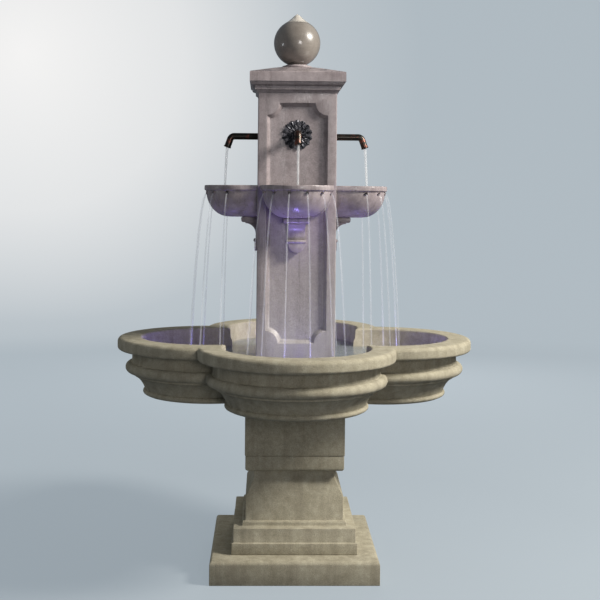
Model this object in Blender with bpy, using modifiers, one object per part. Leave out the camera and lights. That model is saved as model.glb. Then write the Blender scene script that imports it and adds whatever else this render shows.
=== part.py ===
"""A tiered garden fountain: a four-lobed basin on a stepped pedestal, and a square column with a bowl and a
spout on each face, a cap and a ball finial, with the pump and plumbing inside.

Metres, +Z up. The origin is on the ground under the middle of the plinth, and the front faces -Y.
"""
import math

import bmesh
import bpy
from mathutils import Matrix, Vector

# Fits between pieces
TOUCH = 0.0003  # between faces that rest on each other
SLIP = 0.0010  # round a piece that slides, turns or passes through
OVERRUN = 0.002  # how far a cutter runs past the face that it cuts

# Plinth, pedestal and riser block, all square on plan
PLINTH_WIDTH = 0.604
PLINTH_HEIGHT = 0.085
PLINTH_ARRIS = 0.015
BAND_WIDTH = 0.454
BAND_HEIGHT = 0.042
TIER_WIDTH = 0.442
TIER_HEIGHT = 0.052
FOOT_WIDTH = 0.380
FOOT_HEIGHT = 0.017
DIE_WIDTH = 0.356
DIE_HEIGHT = 0.087
TAPER_HEIGHT = 0.060
NECK_WIDTH = 0.296
NECK_HEIGHT = 0.032
COLLAR_WIDTH = 0.360
COLLAR_HEIGHT = 0.055
COLLAR_ARRIS = 0.010
RISER_WIDTH = 0.364
RISER_HEIGHT = 0.200
SERVICE_BORE = 0.200  # square way for the leads through all three blocks
CORD_HOLE_RADIUS = 0.014
CORD_HOLE_HEIGHT = 0.042
GROMMET_WALL = 0.003
GROMMET_LIP = 0.004

# Basin: four equal round lobes about the column
LOBE_OFFSET = 0.317
BASIN_HEIGHT = 0.215
RIM_RADIUS = 0.349
RIM_HEIGHT = 0.045
RIM_ARRIS = 0.009
COVE_RADIUS = 0.292
ROLL_RADIUS = 0.319
ROLL_SECTION = 0.021
ROLL_HEIGHT = 0.109
BELLY_RADIUS = 0.283
BELLY_HEIGHT = 0.076
BEAD_RADIUS = 0.250
BEAD_HEIGHT = 0.022
BASE_RADIUS = 0.243
WELL_RADIUS = 0.259
WELL_STEP = 0.005
WELL_FOOT_INSET = 0.010  # from the base's edge to where the floor starts to curve
FLOOR_CURVE = 0.0225
FLOOR_THICKNESS = 0.045

# Column and its panels
COLUMN_WIDTH = 0.290
COLUMN_HEIGHT = 1.080
COLUMN_WALL = 0.045
PANEL_SIDE_MARGIN = 0.032
PANEL_TOP_MARGIN = 0.036
PANEL_BOTTOM_MARGIN = 0.159
PANEL_DEPTH = 0.015
PANEL_NOTCH = 0.046

# Cap, finial and bubbler
CAP_COVE_HEIGHT = 0.011
CAP_FILLET_WIDTH = 0.312
CAP_FILLET_HEIGHT = 0.014
CAP_OVOLO_WIDTH = 0.340
CAP_OVOLO_HEIGHT = 0.012
CAP_WIDTH = 0.352
CAP_SLAB_HEIGHT = 0.038
CAP_TOP_WIDTH = 0.116
CAP_SLOPE_HEIGHT = 0.029
SEAT_RADIUS = 0.057
SEAT_HEIGHT = 0.013
BALL_RADIUS = 0.088
BALL_FLAT_RADIUS = 0.027
BUBBLER_PIPE_RADIUS = 0.011
BUBBLER_PIPE_BORE = 0.009
BUBBLER_STANDS_OUT = 0.005
NOZZLE_RADIUS = 0.008
NOZZLE_BORE = 0.004
NOZZLE_HEIGHT = 0.010

# Bowls and corbels, measured from the face of the column
BOWL_RIM_HEIGHT_ABOVE_FOOT = 0.740
BOWL_STRAIGHT = 0.068
BOWL_SIDE_MARGIN = 0.012  # from the rim's widest point to the column's edge
BOWL_RIM_THICKNESS = 0.020
BOWL_RIM_LIP = 0.007
BOWL_FOOT_RADIUS = 0.040
BOWL_HEIGHT = 0.118
BOWL_WALL = 0.014
BOWL_TONGUE_MARGIN = 0.018  # from the tongue to the panel's edge
WEIR_RADIUS = 0.006
WEIR_DROP = 0.028
WEIR_ANGLES = (-70, -42, -14, 14, 42, 70)
CORBEL_REACH = 0.061
CORBEL_TOP_WIDTH = 0.096
CORBEL_TOP_HEIGHT = 0.020
CORBEL_BODY_WIDTH = 0.064
CORBEL_BODY_REACH = 0.045
CORBEL_HEIGHT = 0.129

# Spouts
SPOUT_HEIGHT_ABOVE_FOOT = 0.926
SPOUT_RADIUS = 0.0125
SPOUT_BORE = 0.0098
SPOUT_REACH = 0.090  # from the face of the column to the bend
SPOUT_DROP = 0.034
SPOUT_LEAN = 20.0  # degrees between the outlet leg and a plumb line
SPOUT_BEND_RADIUS = 0.016
SPOUT_TAIL = 0.016  # how far the pipe runs on inside the column
ROSETTE_RADIUS = 0.057
ROSETTE_LOBES = 14
ROSETTE_SCALLOP = 0.006
ROSETTE_THICKNESS = 0.008
NUT_RADIUS = 0.022
NUT_THICKNESS = 0.010

# Plumbing on the column's axis
SUPPLY_RADIUS = 0.009
SUPPLY_BORE = 0.0065
SUPPLY_START = 0.0297  # from the column's axis to where the tubes leave the manifold
SUPPLY_STRAIGHT = 0.004  # at each end, so that the ends are square
SUPPLY_RISE = 0.160
MANIFOLD_RADIUS = 0.022
MANIFOLD_HALF_HEIGHT = 0.025
VALVE_BORE = 0.008
BALL_VALVE_RADIUS = 0.013
VALVE_BODY_RADIUS = 0.021
VALVE_NECK_RADIUS = 0.015
VALVE_HALF_HEIGHT = 0.040
VALVE_TAIL_FLANGE = 0.005
BARB_RADIUS = 0.010
BARB_LENGTH = 0.018
STEM_RADIUS = 0.004
STEM_BOSS_RADIUS = 0.010
STEM_BOSS_REACH = 0.030
HANDLE_LENGTH = 0.062
HANDLE_WIDTH = 0.015
HANDLE_THICKNESS = 0.004
HOSE_WALL = 0.003
CLAMP_WALL = 0.002
CLAMP_HEIGHT = 0.009

# Pump
PUMP_BASE_THICKNESS = 0.006
PUMP_BASE_LIP = 0.009
PUMP_WIDTH = 0.076
PUMP_HEIGHT = 0.078
PUMP_FRONT = 0.020  # from the axis of the outlet to the face that the cover closes
PUMP_REAR = 0.072
CHAMBER_RADIUS = 0.028
CHAMBER_DEPTH = 0.032
ROTOR_RADIUS = 0.014
ROTOR_LENGTH = 0.044
DISC_THICKNESS = 0.004
SHAFT_RADIUS = 0.003
VANE_RADIUS = 0.025
VANE_COUNT = 5
VANE_THICKNESS = 0.002
COVER_THICKNESS = 0.010
SLOT_COUNT = 6
DIAL_RADIUS = 0.026
DIAL_THICKNESS = 0.004
TAB_WIDTH = 0.004
TAB_REACH = 0.0045
PIVOT_RADIUS = 0.004

# Intake, drain, lights and cable gland
INTAKE_WIDTH = 0.120
INTAKE_HEIGHT = 0.080
INTAKE_SILL = 0.016
GRILLE_DEPTH = 0.020
GRILLE_BARS = 7
GRILLE_LIP = 0.007
DRAIN_RADIUS = 0.020
DRAIN_BORE = 0.0165
DRAIN_FLANGE_RADIUS = 0.030
DRAIN_TAIL = 0.018
GASKET_THICKNESS = 0.002
FLANGE_THICKNESS = 0.004
STANDPIPE_BORE = 0.0125
WATER_DEPTH = 0.100
LIGHT_OFFSET = 0.400
LIGHT_RADIUS = 0.034
LIGHT_HEIGHT = 0.028
GLAND_OFFSET = 0.072
GLAND_RADIUS = 0.010
GLAND_BORE = 0.006
GLAND_HEAD_RADIUS = 0.017
GLAND_HEAD_HEIGHT = 0.014
GLAND_TAIL = 0.016

# Levels and planes that follow from the sizes above
PEDESTAL_TOP = (PLINTH_HEIGHT + BAND_HEIGHT + TIER_HEIGHT + FOOT_HEIGHT + DIE_HEIGHT + TAPER_HEIGHT
                + NECK_HEIGHT + COLLAR_HEIGHT)
BASIN_UNDERSIDE = PEDESTAL_TOP + RISER_HEIGHT
BASIN_TOP = BASIN_UNDERSIDE + BASIN_HEIGHT
FLOOR = BASIN_UNDERSIDE + FLOOR_THICKNESS
COLUMN_TOP = FLOOR + COLUMN_HEIGHT
COLUMN_FACE = COLUMN_WIDTH / 2
CAVITY_FACE = COLUMN_FACE - COLUMN_WALL
PANEL_FACE = COLUMN_FACE - PANEL_DEPTH
CAP_SHOULDER = COLUMN_TOP + CAP_COVE_HEIGHT + CAP_FILLET_HEIGHT + CAP_OVOLO_HEIGHT
CAP_TOP = CAP_SHOULDER + CAP_SLAB_HEIGHT + CAP_SLOPE_HEIGHT
SEAT_TOP = CAP_TOP + SEAT_HEIGHT
BALL_CENTRE = SEAT_TOP + math.sqrt(BALL_RADIUS ** 2 - BALL_FLAT_RADIUS ** 2)
BALL_TOP = BALL_CENTRE + BALL_RADIUS
BOWL_TOP = FLOOR + BOWL_RIM_HEIGHT_ABOVE_FOOT
BOWL_UNDERSIDE = BOWL_TOP - BOWL_HEIGHT
BOWL_AXIS = COLUMN_FACE + BOWL_STRAIGHT
BOWL_RIM_RADIUS = COLUMN_FACE - BOWL_SIDE_MARGIN
BOWL_BODY_RADIUS = BOWL_RIM_RADIUS - BOWL_RIM_LIP
BOWL_TONGUE = COLUMN_FACE - PANEL_SIDE_MARGIN - BOWL_TONGUE_MARGIN
SPOUT_HEIGHT = FLOOR + SPOUT_HEIGHT_ABOVE_FOOT
SPOUT_TAIL_END = CAVITY_FACE - SPOUT_TAIL
SUPPLY_BEND = (SPOUT_TAIL_END - TOUCH - SUPPLY_START) / 2 - SUPPLY_STRAIGHT
MANIFOLD_HEIGHT = SPOUT_HEIGHT - SUPPLY_RISE
VALVE_HEIGHT = MANIFOLD_HEIGHT - MANIFOLD_HALF_HEIGHT - VALVE_HALF_HEIGHT
CHAMBER_HEIGHT = FLOOR + PUMP_BASE_THICKNESS + PUMP_HEIGHT / 2
PUMP_TOP = FLOOR + PUMP_BASE_THICKNESS + PUMP_HEIGHT
BORE_FOR_BUBBLER = BUBBLER_PIPE_RADIUS + SLIP

SIDES = (("front", 0), ("right", 90), ("rear", 180), ("left", 270))
SQUARE_CORNER = math.sqrt(2)  # a square's corner from its middle, over its half width
ALONG_Y = Matrix.Rotation(math.radians(90), 4, "X")  # turns +Z to -Y


# Scene and materials
for leftover in list(bpy.data.objects):
    bpy.data.objects.remove(leftover, do_unlink=True)
PARTS = bpy.data.collections.new("garden_fountain")
CUTTERS = bpy.data.collections.new("cutters")
bpy.context.scene.collection.children.link(PARTS)
bpy.context.scene.collection.children.link(CUTTERS)


def material(name, colour, roughness, metallic=0.0):
    made = bpy.data.materials.new(name)
    made.use_nodes = True
    made.diffuse_color = (*colour, 1.0)
    surface = made.node_tree.nodes["Principled BSDF"]
    surface.inputs["Base Color"].default_value = (*colour, 1.0)
    surface.inputs["Roughness"].default_value = roughness
    surface.inputs["Metallic"].default_value = metallic
    return made


STONE = material("cast_stone", (0.36, 0.33, 0.25), 0.9)
WET_STONE = material("wet_cast_stone", (0.22, 0.20, 0.19), 0.35)
POLISHED_STONE = material("wet_polished_stone", (0.16, 0.15, 0.14), 0.15)
BRONZE = material("dark_bronze", (0.09, 0.055, 0.04), 0.4, 1.0)
BRASS = material("brass", (0.60, 0.44, 0.20), 0.35, 1.0)
STEEL = material("stainless_steel", (0.55, 0.55, 0.56), 0.3, 1.0)
COPPER = material("copper", (0.60, 0.30, 0.18), 0.35, 1.0)
BLACK_PLASTIC = material("black_plastic", (0.02, 0.02, 0.022), 0.5)
GREY_PLASTIC = material("grey_plastic", (0.30, 0.31, 0.32), 0.5)
RUBBER = material("rubber", (0.03, 0.03, 0.03), 0.8)
CLEAR_HOSE = material("vinyl_hose", (0.45, 0.47, 0.46), 0.25)
CERAMIC = material("ceramic", (0.85, 0.84, 0.80), 0.3)


# Ways of making a shape. Each returns a helper object that finish() or repeat() makes into a part.
def helper(name, data):
    made = bpy.data.objects.new(name + "_shape", data)
    CUTTERS.objects.link(made)
    made.hide_render = True
    made.display_type = "WIRE"
    return made


def evaluated_mesh(source):
    """The mesh of an object with its modifiers and its place applied."""
    bpy.context.view_layer.update()
    graph = bpy.context.evaluated_depsgraph_get()
    mesh = bpy.data.meshes.new_from_object(source.evaluated_get(graph))
    mesh.transform(source.matrix_world)
    return mesh


def welded(source):
    """A curve made into a mesh object whose caps are joined to its sides."""
    mesh = evaluated_mesh(source)
    form = bmesh.new()
    form.from_mesh(mesh)
    bmesh.ops.remove_doubles(form, verts=form.verts, dist=0.00001)
    form.to_mesh(mesh)
    form.free()
    bpy.data.objects.remove(source)
    return helper(mesh.name, mesh)


def from_bmesh(name, form):
    bmesh.ops.recalc_face_normals(form, faces=form.faces)
    mesh = bpy.data.meshes.new(name)
    form.to_mesh(mesh)
    form.free()
    return helper(name, mesh)


def turned(name, profile, steps=24, closed=False):
    """A profile of (radius, height) turned about Z, down the outside and, if closed, back up the bore."""
    points = [(radius, 0.0, height) for radius, height in profile]
    edges = [(index, index + 1) for index in range(len(points) - 1)]
    if closed:
        edges.append((len(points) - 1, 0))
    mesh = bpy.data.meshes.new(name)
    mesh.from_pydata(points, edges, [])
    made = helper(name, mesh)
    screw = made.modifiers.new("turn", "SCREW")
    screw.steps = steps
    screw.render_steps = steps
    screw.use_merge_vertices = True
    screw.merge_threshold = 0.00005
    return made


def squared(name, profile, closed=False):
    """The same for a block that is square on plan, from a profile of (half width, height)."""
    corners = [(half * SQUARE_CORNER, height) for half, height in profile]
    made = turned(name, corners, steps=4, closed=closed)
    made.rotation_euler.z = math.radians(45)
    return made


def box(name, low, high):
    low, high = Vector(low), Vector(high)
    place = Matrix.LocRotScale((low + high) / 2, None, high - low)
    form = bmesh.new()
    bmesh.ops.create_cube(form, size=1.0, matrix=place)
    return from_bmesh(name, form)


def cylinder(name, radius, start, end, sides=12):
    start, end = Vector(start), Vector(end)
    along = end - start
    place = Matrix.Translation((start + end) / 2) @ along.to_track_quat("Z", "Y").to_matrix().to_4x4()
    form = bmesh.new()
    bmesh.ops.create_cone(form, cap_ends=True, segments=sides, radius1=radius, radius2=radius,
                          depth=along.length, matrix=place)
    return from_bmesh(name, form)


def hole(name, radius, start, end, sides=12):
    """A cylinder to cut with, whose flats lie at the radius, so that a round piece of that size goes in."""
    return cylinder(name, radius / math.cos(math.pi / sides), start, end, sides)


def rod(name, points, radius, resolution=3):
    """A round bar along a path, as a curve with filled caps."""
    curve = bpy.data.curves.new(name, "CURVE")
    curve.dimensions = "3D"
    curve.bevel_depth = radius
    curve.bevel_resolution = resolution
    curve.use_fill_caps = True
    spline = curve.splines.new("POLY")
    spline.points.add(len(points) - 1)
    for slot, point in zip(spline.points, points):
        slot.co = (*point, 1.0)
    return welded(helper(name, curve))


def pipe(name, points, radius, bore, resolution=3):
    """A hollow rod, open at both ends."""
    first = points[0] + (points[0] - points[1]).normalized() * OVERRUN
    last = points[-1] + (points[-1] - points[-2]).normalized() * OVERRUN
    return cut(rod(name, points, radius, resolution),
               rod(name + "_bore", [first, *points[1:-1], last], bore, resolution))


def plate(name, outlines, thickness):
    """Flat outlines filled in the XY plane, an inner one being a hole, with their middle at Z 0."""
    curve = bpy.data.curves.new(name, "CURVE")
    curve.dimensions = "2D"
    curve.fill_mode = "BOTH"
    curve.extrude = thickness / 2
    for outline in outlines:
        spline = curve.splines.new("POLY")
        spline.use_cyclic_u = True
        spline.points.add(len(outline) - 1)
        for slot, (across, up) in zip(spline.points, outline):
            slot.co = (across, up, 0.0, 1.0)
    return welded(helper(name, curve))


def arc(centre, radius, start, end, steps):
    """Points of a round stretch, as (across, up), with its angles in degrees."""
    turns = [math.radians(start + (end - start) * step / steps) for step in range(steps + 1)]
    return [(centre[0] + radius * math.cos(turn), centre[1] + radius * math.sin(turn)) for turn in turns]


def boolean(target, others, operation, solver):
    for other in others:
        modifier = target.modifiers.new(operation.lower(), "BOOLEAN")
        modifier.operation = operation
        modifier.solver = solver
        modifier.object = other
    return target


def cut(target, *others, solver="EXACT"):
    return boolean(target, others, "DIFFERENCE", solver)


def join(target, *others, solver="EXACT"):
    return boolean(target, others, "UNION", solver)


def moved(source, matrix):
    """Applies the shape's modifiers, so that its cutters stay behind, and then moves it."""
    mesh = evaluated_mesh(source)
    source.modifiers.clear()
    source.data = mesh
    source.matrix_world = matrix
    return source


def shaded(mesh):
    mesh.shade_smooth()
    mesh.set_sharp_from_angle(angle=math.radians(35))
    return mesh


def finish(source, name, stuff, axis=(0.0, 0.0, 0.0), angle=0.0):
    """Makes a helper into the part of this name, with its origin at axis and turned about Z."""
    mesh = evaluated_mesh(source)
    mesh.transform(Matrix.Translation(-Vector(axis)))
    mesh.name = name
    mesh.materials.clear()
    mesh.materials.append(stuff)
    part = bpy.data.objects.new(name, shaded(mesh))
    part.location = axis
    part.rotation_euler.z = math.radians(angle)
    PARTS.objects.link(part)
    return part


def repeat(source, name, stuff):
    """One part on each side of the column, all sharing the mesh of the front one."""
    first = finish(source, f"{name}_{SIDES[0][0]}", stuff)
    for side, angle in SIDES[1:]:
        part = bpy.data.objects.new(f"{name}_{side}", first.data)
        part.rotation_euler.z = math.radians(angle)
        PARTS.objects.link(part)


def round_the_column(source, name):
    """Three more helpers with the same shape, for cutting the same thing on all four sides."""
    mesh = evaluated_mesh(source)
    copies = []
    for side, angle in SIDES:
        copy = helper(f"{name}_{side}", mesh)
        copy.rotation_euler.z = math.radians(angle)
        copies.append(copy)
    return copies


# Plinth, pedestal and riser block
def build_plinth():
    half = PLINTH_WIDTH / 2
    low = PLINTH_HEIGHT - PLINTH_ARRIS
    bore = SERVICE_BORE / 2
    body = squared("plinth", [(bore, PLINTH_HEIGHT), (half - PLINTH_ARRIS, PLINTH_HEIGHT),
                              (half - PLINTH_ARRIS * 0.29, PLINTH_HEIGHT - PLINTH_ARRIS * 0.29),
                              (half, low), (half, 0.0), (bore, 0.0)], closed=True)
    way_out = hole("cord_hole", CORD_HOLE_RADIUS, (0, bore - OVERRUN, CORD_HOLE_HEIGHT),
                   (0, half + OVERRUN, CORD_HOLE_HEIGHT))
    finish(cut(body, way_out), "plinth", STONE)
    grommet_radius = CORD_HOLE_RADIUS - TOUCH
    lip = [(grommet_radius - GROMMET_WALL, GROMMET_LIP), (grommet_radius + GROMMET_LIP, GROMMET_LIP),
           (grommet_radius + GROMMET_LIP, 0.0), (grommet_radius, 0.0),
           (grommet_radius, -GROMMET_LIP * 4), (grommet_radius - GROMMET_WALL, -GROMMET_LIP * 4)]
    grommet = turned("grommet", lip, steps=12, closed=True)
    facing_back = Matrix.Translation((0, half + TOUCH, CORD_HOLE_HEIGHT)) @ ALONG_Y.inverted()
    finish(moved(grommet, facing_back), "cord_grommet", RUBBER)


def build_pedestal():
    profile = []
    level = PLINTH_HEIGHT + TOUCH
    blocks = ((BAND_WIDTH, BAND_WIDTH, BAND_HEIGHT - TOUCH), (TIER_WIDTH, TIER_WIDTH, TIER_HEIGHT),
              (FOOT_WIDTH, FOOT_WIDTH, FOOT_HEIGHT), (DIE_WIDTH, DIE_WIDTH, DIE_HEIGHT),
              (DIE_WIDTH, NECK_WIDTH, TAPER_HEIGHT), (NECK_WIDTH, NECK_WIDTH, NECK_HEIGHT))
    for foot, head, height in blocks:
        profile += [(foot / 2, level), (head / 2, level + height)]
        level += height
    collar = COLLAR_WIDTH / 2
    profile += [(collar - COLLAR_ARRIS, level), (collar, level + COLLAR_ARRIS), (collar, PEDESTAL_TOP)]
    bore = SERVICE_BORE / 2
    outside = [point for index, point in enumerate(profile) if index == 0 or point != profile[index - 1]]
    loop = [(bore, PEDESTAL_TOP), *reversed(outside), (bore, PLINTH_HEIGHT + TOUCH)]
    finish(squared("pedestal", loop, closed=True), "pedestal", STONE)


def build_riser_block():
    half, bore = RISER_WIDTH / 2, SERVICE_BORE / 2
    low, high = PEDESTAL_TOP + TOUCH, BASIN_UNDERSIDE - TOUCH
    loop = [(bore, high), (half, high), (half, low), (bore, low)]
    finish(squared("riser", loop, closed=True), "riser_block", STONE)


# Basin
def build_basin():
    rim_low = BASIN_TOP - RIM_HEIGHT
    roll_middle = (ROLL_RADIUS - ROLL_SECTION, BASIN_UNDERSIDE + ROLL_HEIGHT)
    outside = [(0.0, BASIN_TOP), (RIM_RADIUS - RIM_ARRIS, BASIN_TOP),
               (RIM_RADIUS - RIM_ARRIS * 0.29, BASIN_TOP - RIM_ARRIS * 0.29),
               (RIM_RADIUS, BASIN_TOP - RIM_ARRIS), (RIM_RADIUS, rim_low + RIM_ARRIS),
               (RIM_RADIUS - RIM_ARRIS, rim_low), (COVE_RADIUS + RIM_ARRIS, rim_low),
               (COVE_RADIUS, rim_low - RIM_ARRIS),
               *arc(roll_middle, ROLL_SECTION, 100, -90, 6),
               (BELLY_RADIUS, BASIN_UNDERSIDE + BELLY_HEIGHT),
               (BEAD_RADIUS, BASIN_UNDERSIDE + BEAD_HEIGHT),
               (BEAD_RADIUS, BASIN_UNDERSIDE + BEAD_HEIGHT / 2),
               (BASE_RADIUS, BASIN_UNDERSIDE), (0.0, BASIN_UNDERSIDE)]
    well_foot = BASE_RADIUS - WELL_FOOT_INSET
    inside = [(0.0, BASIN_TOP + OVERRUN), (WELL_RADIUS, BASIN_TOP + OVERRUN), (WELL_RADIUS, rim_low),
              (WELL_RADIUS - WELL_STEP, rim_low - WELL_STEP),
              (well_foot, FLOOR + FLOOR_CURVE), (well_foot - FLOOR_CURVE, FLOOR), (0.0, FLOOR)]
    lobe = moved(turned("lobe", outside, steps=28), Matrix.Translation((0, -LOBE_OFFSET, 0)))
    well = moved(turned("well", inside, steps=28), Matrix.Translation((0, -LOBE_OFFSET, 0)))
    middle = BASE_RADIUS * 0.9
    body = box("basin", (-middle, -middle, BASIN_UNDERSIDE), (middle, middle, FLOOR))
    # All four lobes meet on one plane, which the exact solver can't join.
    join(body, *round_the_column(lobe, "lobe"), solver="MANIFOLD")
    clear = LOBE_OFFSET / 2
    cut(body, *round_the_column(well, "well"),
        box("well_middle", (-clear, -clear, FLOOR), (clear, clear, BASIN_TOP + OVERRUN)),
        hole("drain_hole", DRAIN_RADIUS + TOUCH, (0, LOBE_OFFSET, BASIN_UNDERSIDE - OVERRUN),
             (0, LOBE_OFFSET, FLOOR + OVERRUN)),
        hole("gland_hole", GLAND_RADIUS + TOUCH, (GLAND_OFFSET, 0, BASIN_UNDERSIDE - OVERRUN),
             (GLAND_OFFSET, 0, FLOOR + OVERRUN)), solver="MANIFOLD")
    finish(body, "basin", STONE)


# Column
def panel_outline(inset):
    """The panel's edge, moved in by inset: a rectangle with a quarter circle bitten out of each corner."""
    half = COLUMN_FACE - PANEL_SIDE_MARGIN
    low, high = FLOOR + PANEL_BOTTOM_MARGIN, COLUMN_TOP - PANEL_TOP_MARGIN
    bite = PANEL_NOTCH + inset
    start = math.degrees(math.asin(inset / bite))
    outline = []
    for across, up, turn in ((half, low, 180), (half, high, 270), (-half, high, 0), (-half, low, 90)):
        outline += arc((across, up), bite, turn - start, turn - 90 + start, 6)
    return outline


def build_column():
    low, high = FLOOR + TOUCH, COLUMN_TOP - TOUCH
    body = squared("column", [(CAVITY_FACE, high), (COLUMN_FACE, high), (COLUMN_FACE, low),
                              (CAVITY_FACE, low)], closed=True)
    # Each panel is cut by a loft from its outline on the face to the smaller one on its sunk face.
    form = bmesh.new()
    rings = []
    for inset, out in ((PANEL_DEPTH, PANEL_FACE), (-OVERRUN, COLUMN_FACE + OVERRUN)):
        rings.append([form.verts.new((across, -out, up)) for across, up in panel_outline(inset)])
    sides = range(len(rings[0]))
    for index in sides:
        form.faces.new((rings[0][index - 1], rings[0][index], rings[1][index], rings[1][index - 1]))
    for ring in rings:
        form.faces.new(ring)
    panel = from_bmesh("panel", form)
    spout_way = hole("spout_hole", SPOUT_RADIUS + TOUCH, (0, OVERRUN - CAVITY_FACE, SPOUT_HEIGHT),
                     (0, -PANEL_FACE - OVERRUN, SPOUT_HEIGHT))
    sill = FLOOR + INTAKE_SILL
    intake = box("intake", (-INTAKE_WIDTH / 2, CAVITY_FACE - OVERRUN, sill),
                 (INTAKE_WIDTH / 2, COLUMN_FACE + OVERRUN, sill + INTAKE_HEIGHT))
    cut(body, *round_the_column(panel, "panel"), *round_the_column(spout_way, "spout_hole"), intake)
    finish(body, "column", WET_STONE)


def build_intake_grille():
    half = INTAKE_WIDTH / 2 - SLIP
    low = FLOOR + INTAKE_SILL + SLIP
    high = FLOOR + INTAKE_SILL + INTAKE_HEIGHT - SLIP
    back = COLUMN_FACE + TOUCH
    body = box("grille", (-half, COLUMN_FACE - GRILLE_DEPTH, low), (half, back + GRILLE_LIP / 2, high))
    lip = box("grille_lip", (-half - GRILLE_LIP, back, low - GRILLE_LIP),
              (half + GRILLE_LIP, back + GRILLE_LIP, high + GRILLE_LIP))
    pitch = 2 * half / (GRILLE_BARS + 0.5)
    gaps = []
    for index in range(GRILLE_BARS):
        left = -half + pitch * (index + 0.5)
        gaps.append(box("grille_gap", (left, COLUMN_FACE - GRILLE_DEPTH - OVERRUN, low + GRILLE_LIP),
                        (left + pitch / 2, back + GRILLE_LIP + OVERRUN, high - GRILLE_LIP)))
    cut(join(body, lip), *gaps)
    finish(body, "intake_grille", BLACK_PLASTIC, axis=(0, COLUMN_FACE, (low + high) / 2))


# Cap, finial and bubbler
def build_cap():
    level = COLUMN_TOP
    half, top_half = CAP_WIDTH / 2, CAP_TOP_WIDTH / 2
    outside = [(COLUMN_FACE, level), (CAP_FILLET_WIDTH / 2, level + CAP_COVE_HEIGHT),
               (CAP_FILLET_WIDTH / 2, level + CAP_COVE_HEIGHT + CAP_FILLET_HEIGHT),
               (CAP_OVOLO_WIDTH / 2, CAP_SHOULDER), (half, CAP_SHOULDER),
               (half, CAP_SHOULDER + CAP_SLAB_HEIGHT), (top_half, CAP_TOP), (0.0, CAP_TOP)]
    body = squared("cap", [*reversed(outside), (0.0, level)])
    bore = hole("cap_bore", BORE_FOR_BUBBLER, (0, 0, level - OVERRUN), (0, 0, CAP_TOP + OVERRUN))
    finish(cut(body, bore), "cap", WET_STONE)


def build_finial():
    seat = [(BORE_FOR_BUBBLER, SEAT_TOP), (SEAT_RADIUS - SEAT_HEIGHT / 4, SEAT_TOP),
            (SEAT_RADIUS, SEAT_TOP - SEAT_HEIGHT / 4), (SEAT_RADIUS, CAP_TOP + TOUCH),
            (BORE_FOR_BUBBLER, CAP_TOP + TOUCH)]
    finish(turned("seat", seat, closed=True), "finial_seat", WET_STONE)
    top = math.degrees(math.acos(BORE_FOR_BUBBLER / BALL_RADIUS))
    foot = math.degrees(math.asin((SEAT_TOP + TOUCH - BALL_CENTRE) / BALL_RADIUS))
    sphere = arc((0.0, BALL_CENTRE), BALL_RADIUS, top, foot, 11)
    ball = [*sphere, (BORE_FOR_BUBBLER, sphere[-1][1])]
    finish(turned("ball", ball, closed=True), "finial_ball", POLISHED_STONE)


def build_bubbler():
    low = MANIFOLD_HEIGHT + MANIFOLD_HALF_HEIGHT + TOUCH
    high = BALL_TOP + BUBBLER_STANDS_OUT
    stem = [(BUBBLER_PIPE_BORE, high), (BUBBLER_PIPE_RADIUS, high), (BUBBLER_PIPE_RADIUS, low),
            (BUBBLER_PIPE_BORE, low)]
    finish(turned("bubbler_pipe", stem, steps=12, closed=True), "bubbler_pipe", COPPER)
    low, skirt = high + TOUCH, BUBBLER_PIPE_BORE - TOUCH * 2
    nozzle = [(NOZZLE_BORE, low + NOZZLE_HEIGHT), (NOZZLE_RADIUS, low + NOZZLE_HEIGHT),
              (BUBBLER_PIPE_RADIUS, low + NOZZLE_HEIGHT / 2), (BUBBLER_PIPE_RADIUS, low), (skirt, low),
              (skirt, low - NOZZLE_HEIGHT), (NOZZLE_BORE, low - NOZZLE_HEIGHT)]
    finish(turned("nozzle", nozzle, steps=12, closed=True), "bubbler_nozzle", BRONZE)


# Bowls and corbels, drawn for the front and repeated
def half_round(name, profile, back, steps=12):
    """Half round about Z towards -Y, then straight back to the plane y = back."""
    form = bmesh.new()
    line = [form.verts.new((radius, 0.0, height)) for radius, height in profile]
    edges = [form.edges.new(pair) for pair in zip(line, line[1:])]
    bmesh.ops.spin(form, geom=line + edges, cent=(0, 0, 0), axis=(0, 0, 1), angle=-math.pi, steps=steps)
    bmesh.ops.remove_doubles(form, verts=form.verts, dist=0.00001)
    rim = [edge for edge in form.edges if edge.is_boundary]
    drawn = bmesh.ops.extrude_edge_only(form, edges=rim)["geom"]
    for vertex in drawn:
        if isinstance(vertex, bmesh.types.BMVert):
            vertex.co.y = back
    bmesh.ops.edgeloop_fill(form, edges=[edge for edge in form.edges if edge.is_boundary])
    return from_bmesh(name, form)


def bowl_side(foot, reach, rise, steps):
    """The bowl's curved side as (radius, height), from its top down to its foot."""
    turns = [math.radians(90 - 90 * step / steps) for step in range(steps + 1)]
    return [(foot + reach * math.sin(turn), rise * (1 - math.cos(turn))) for turn in turns]


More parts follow.
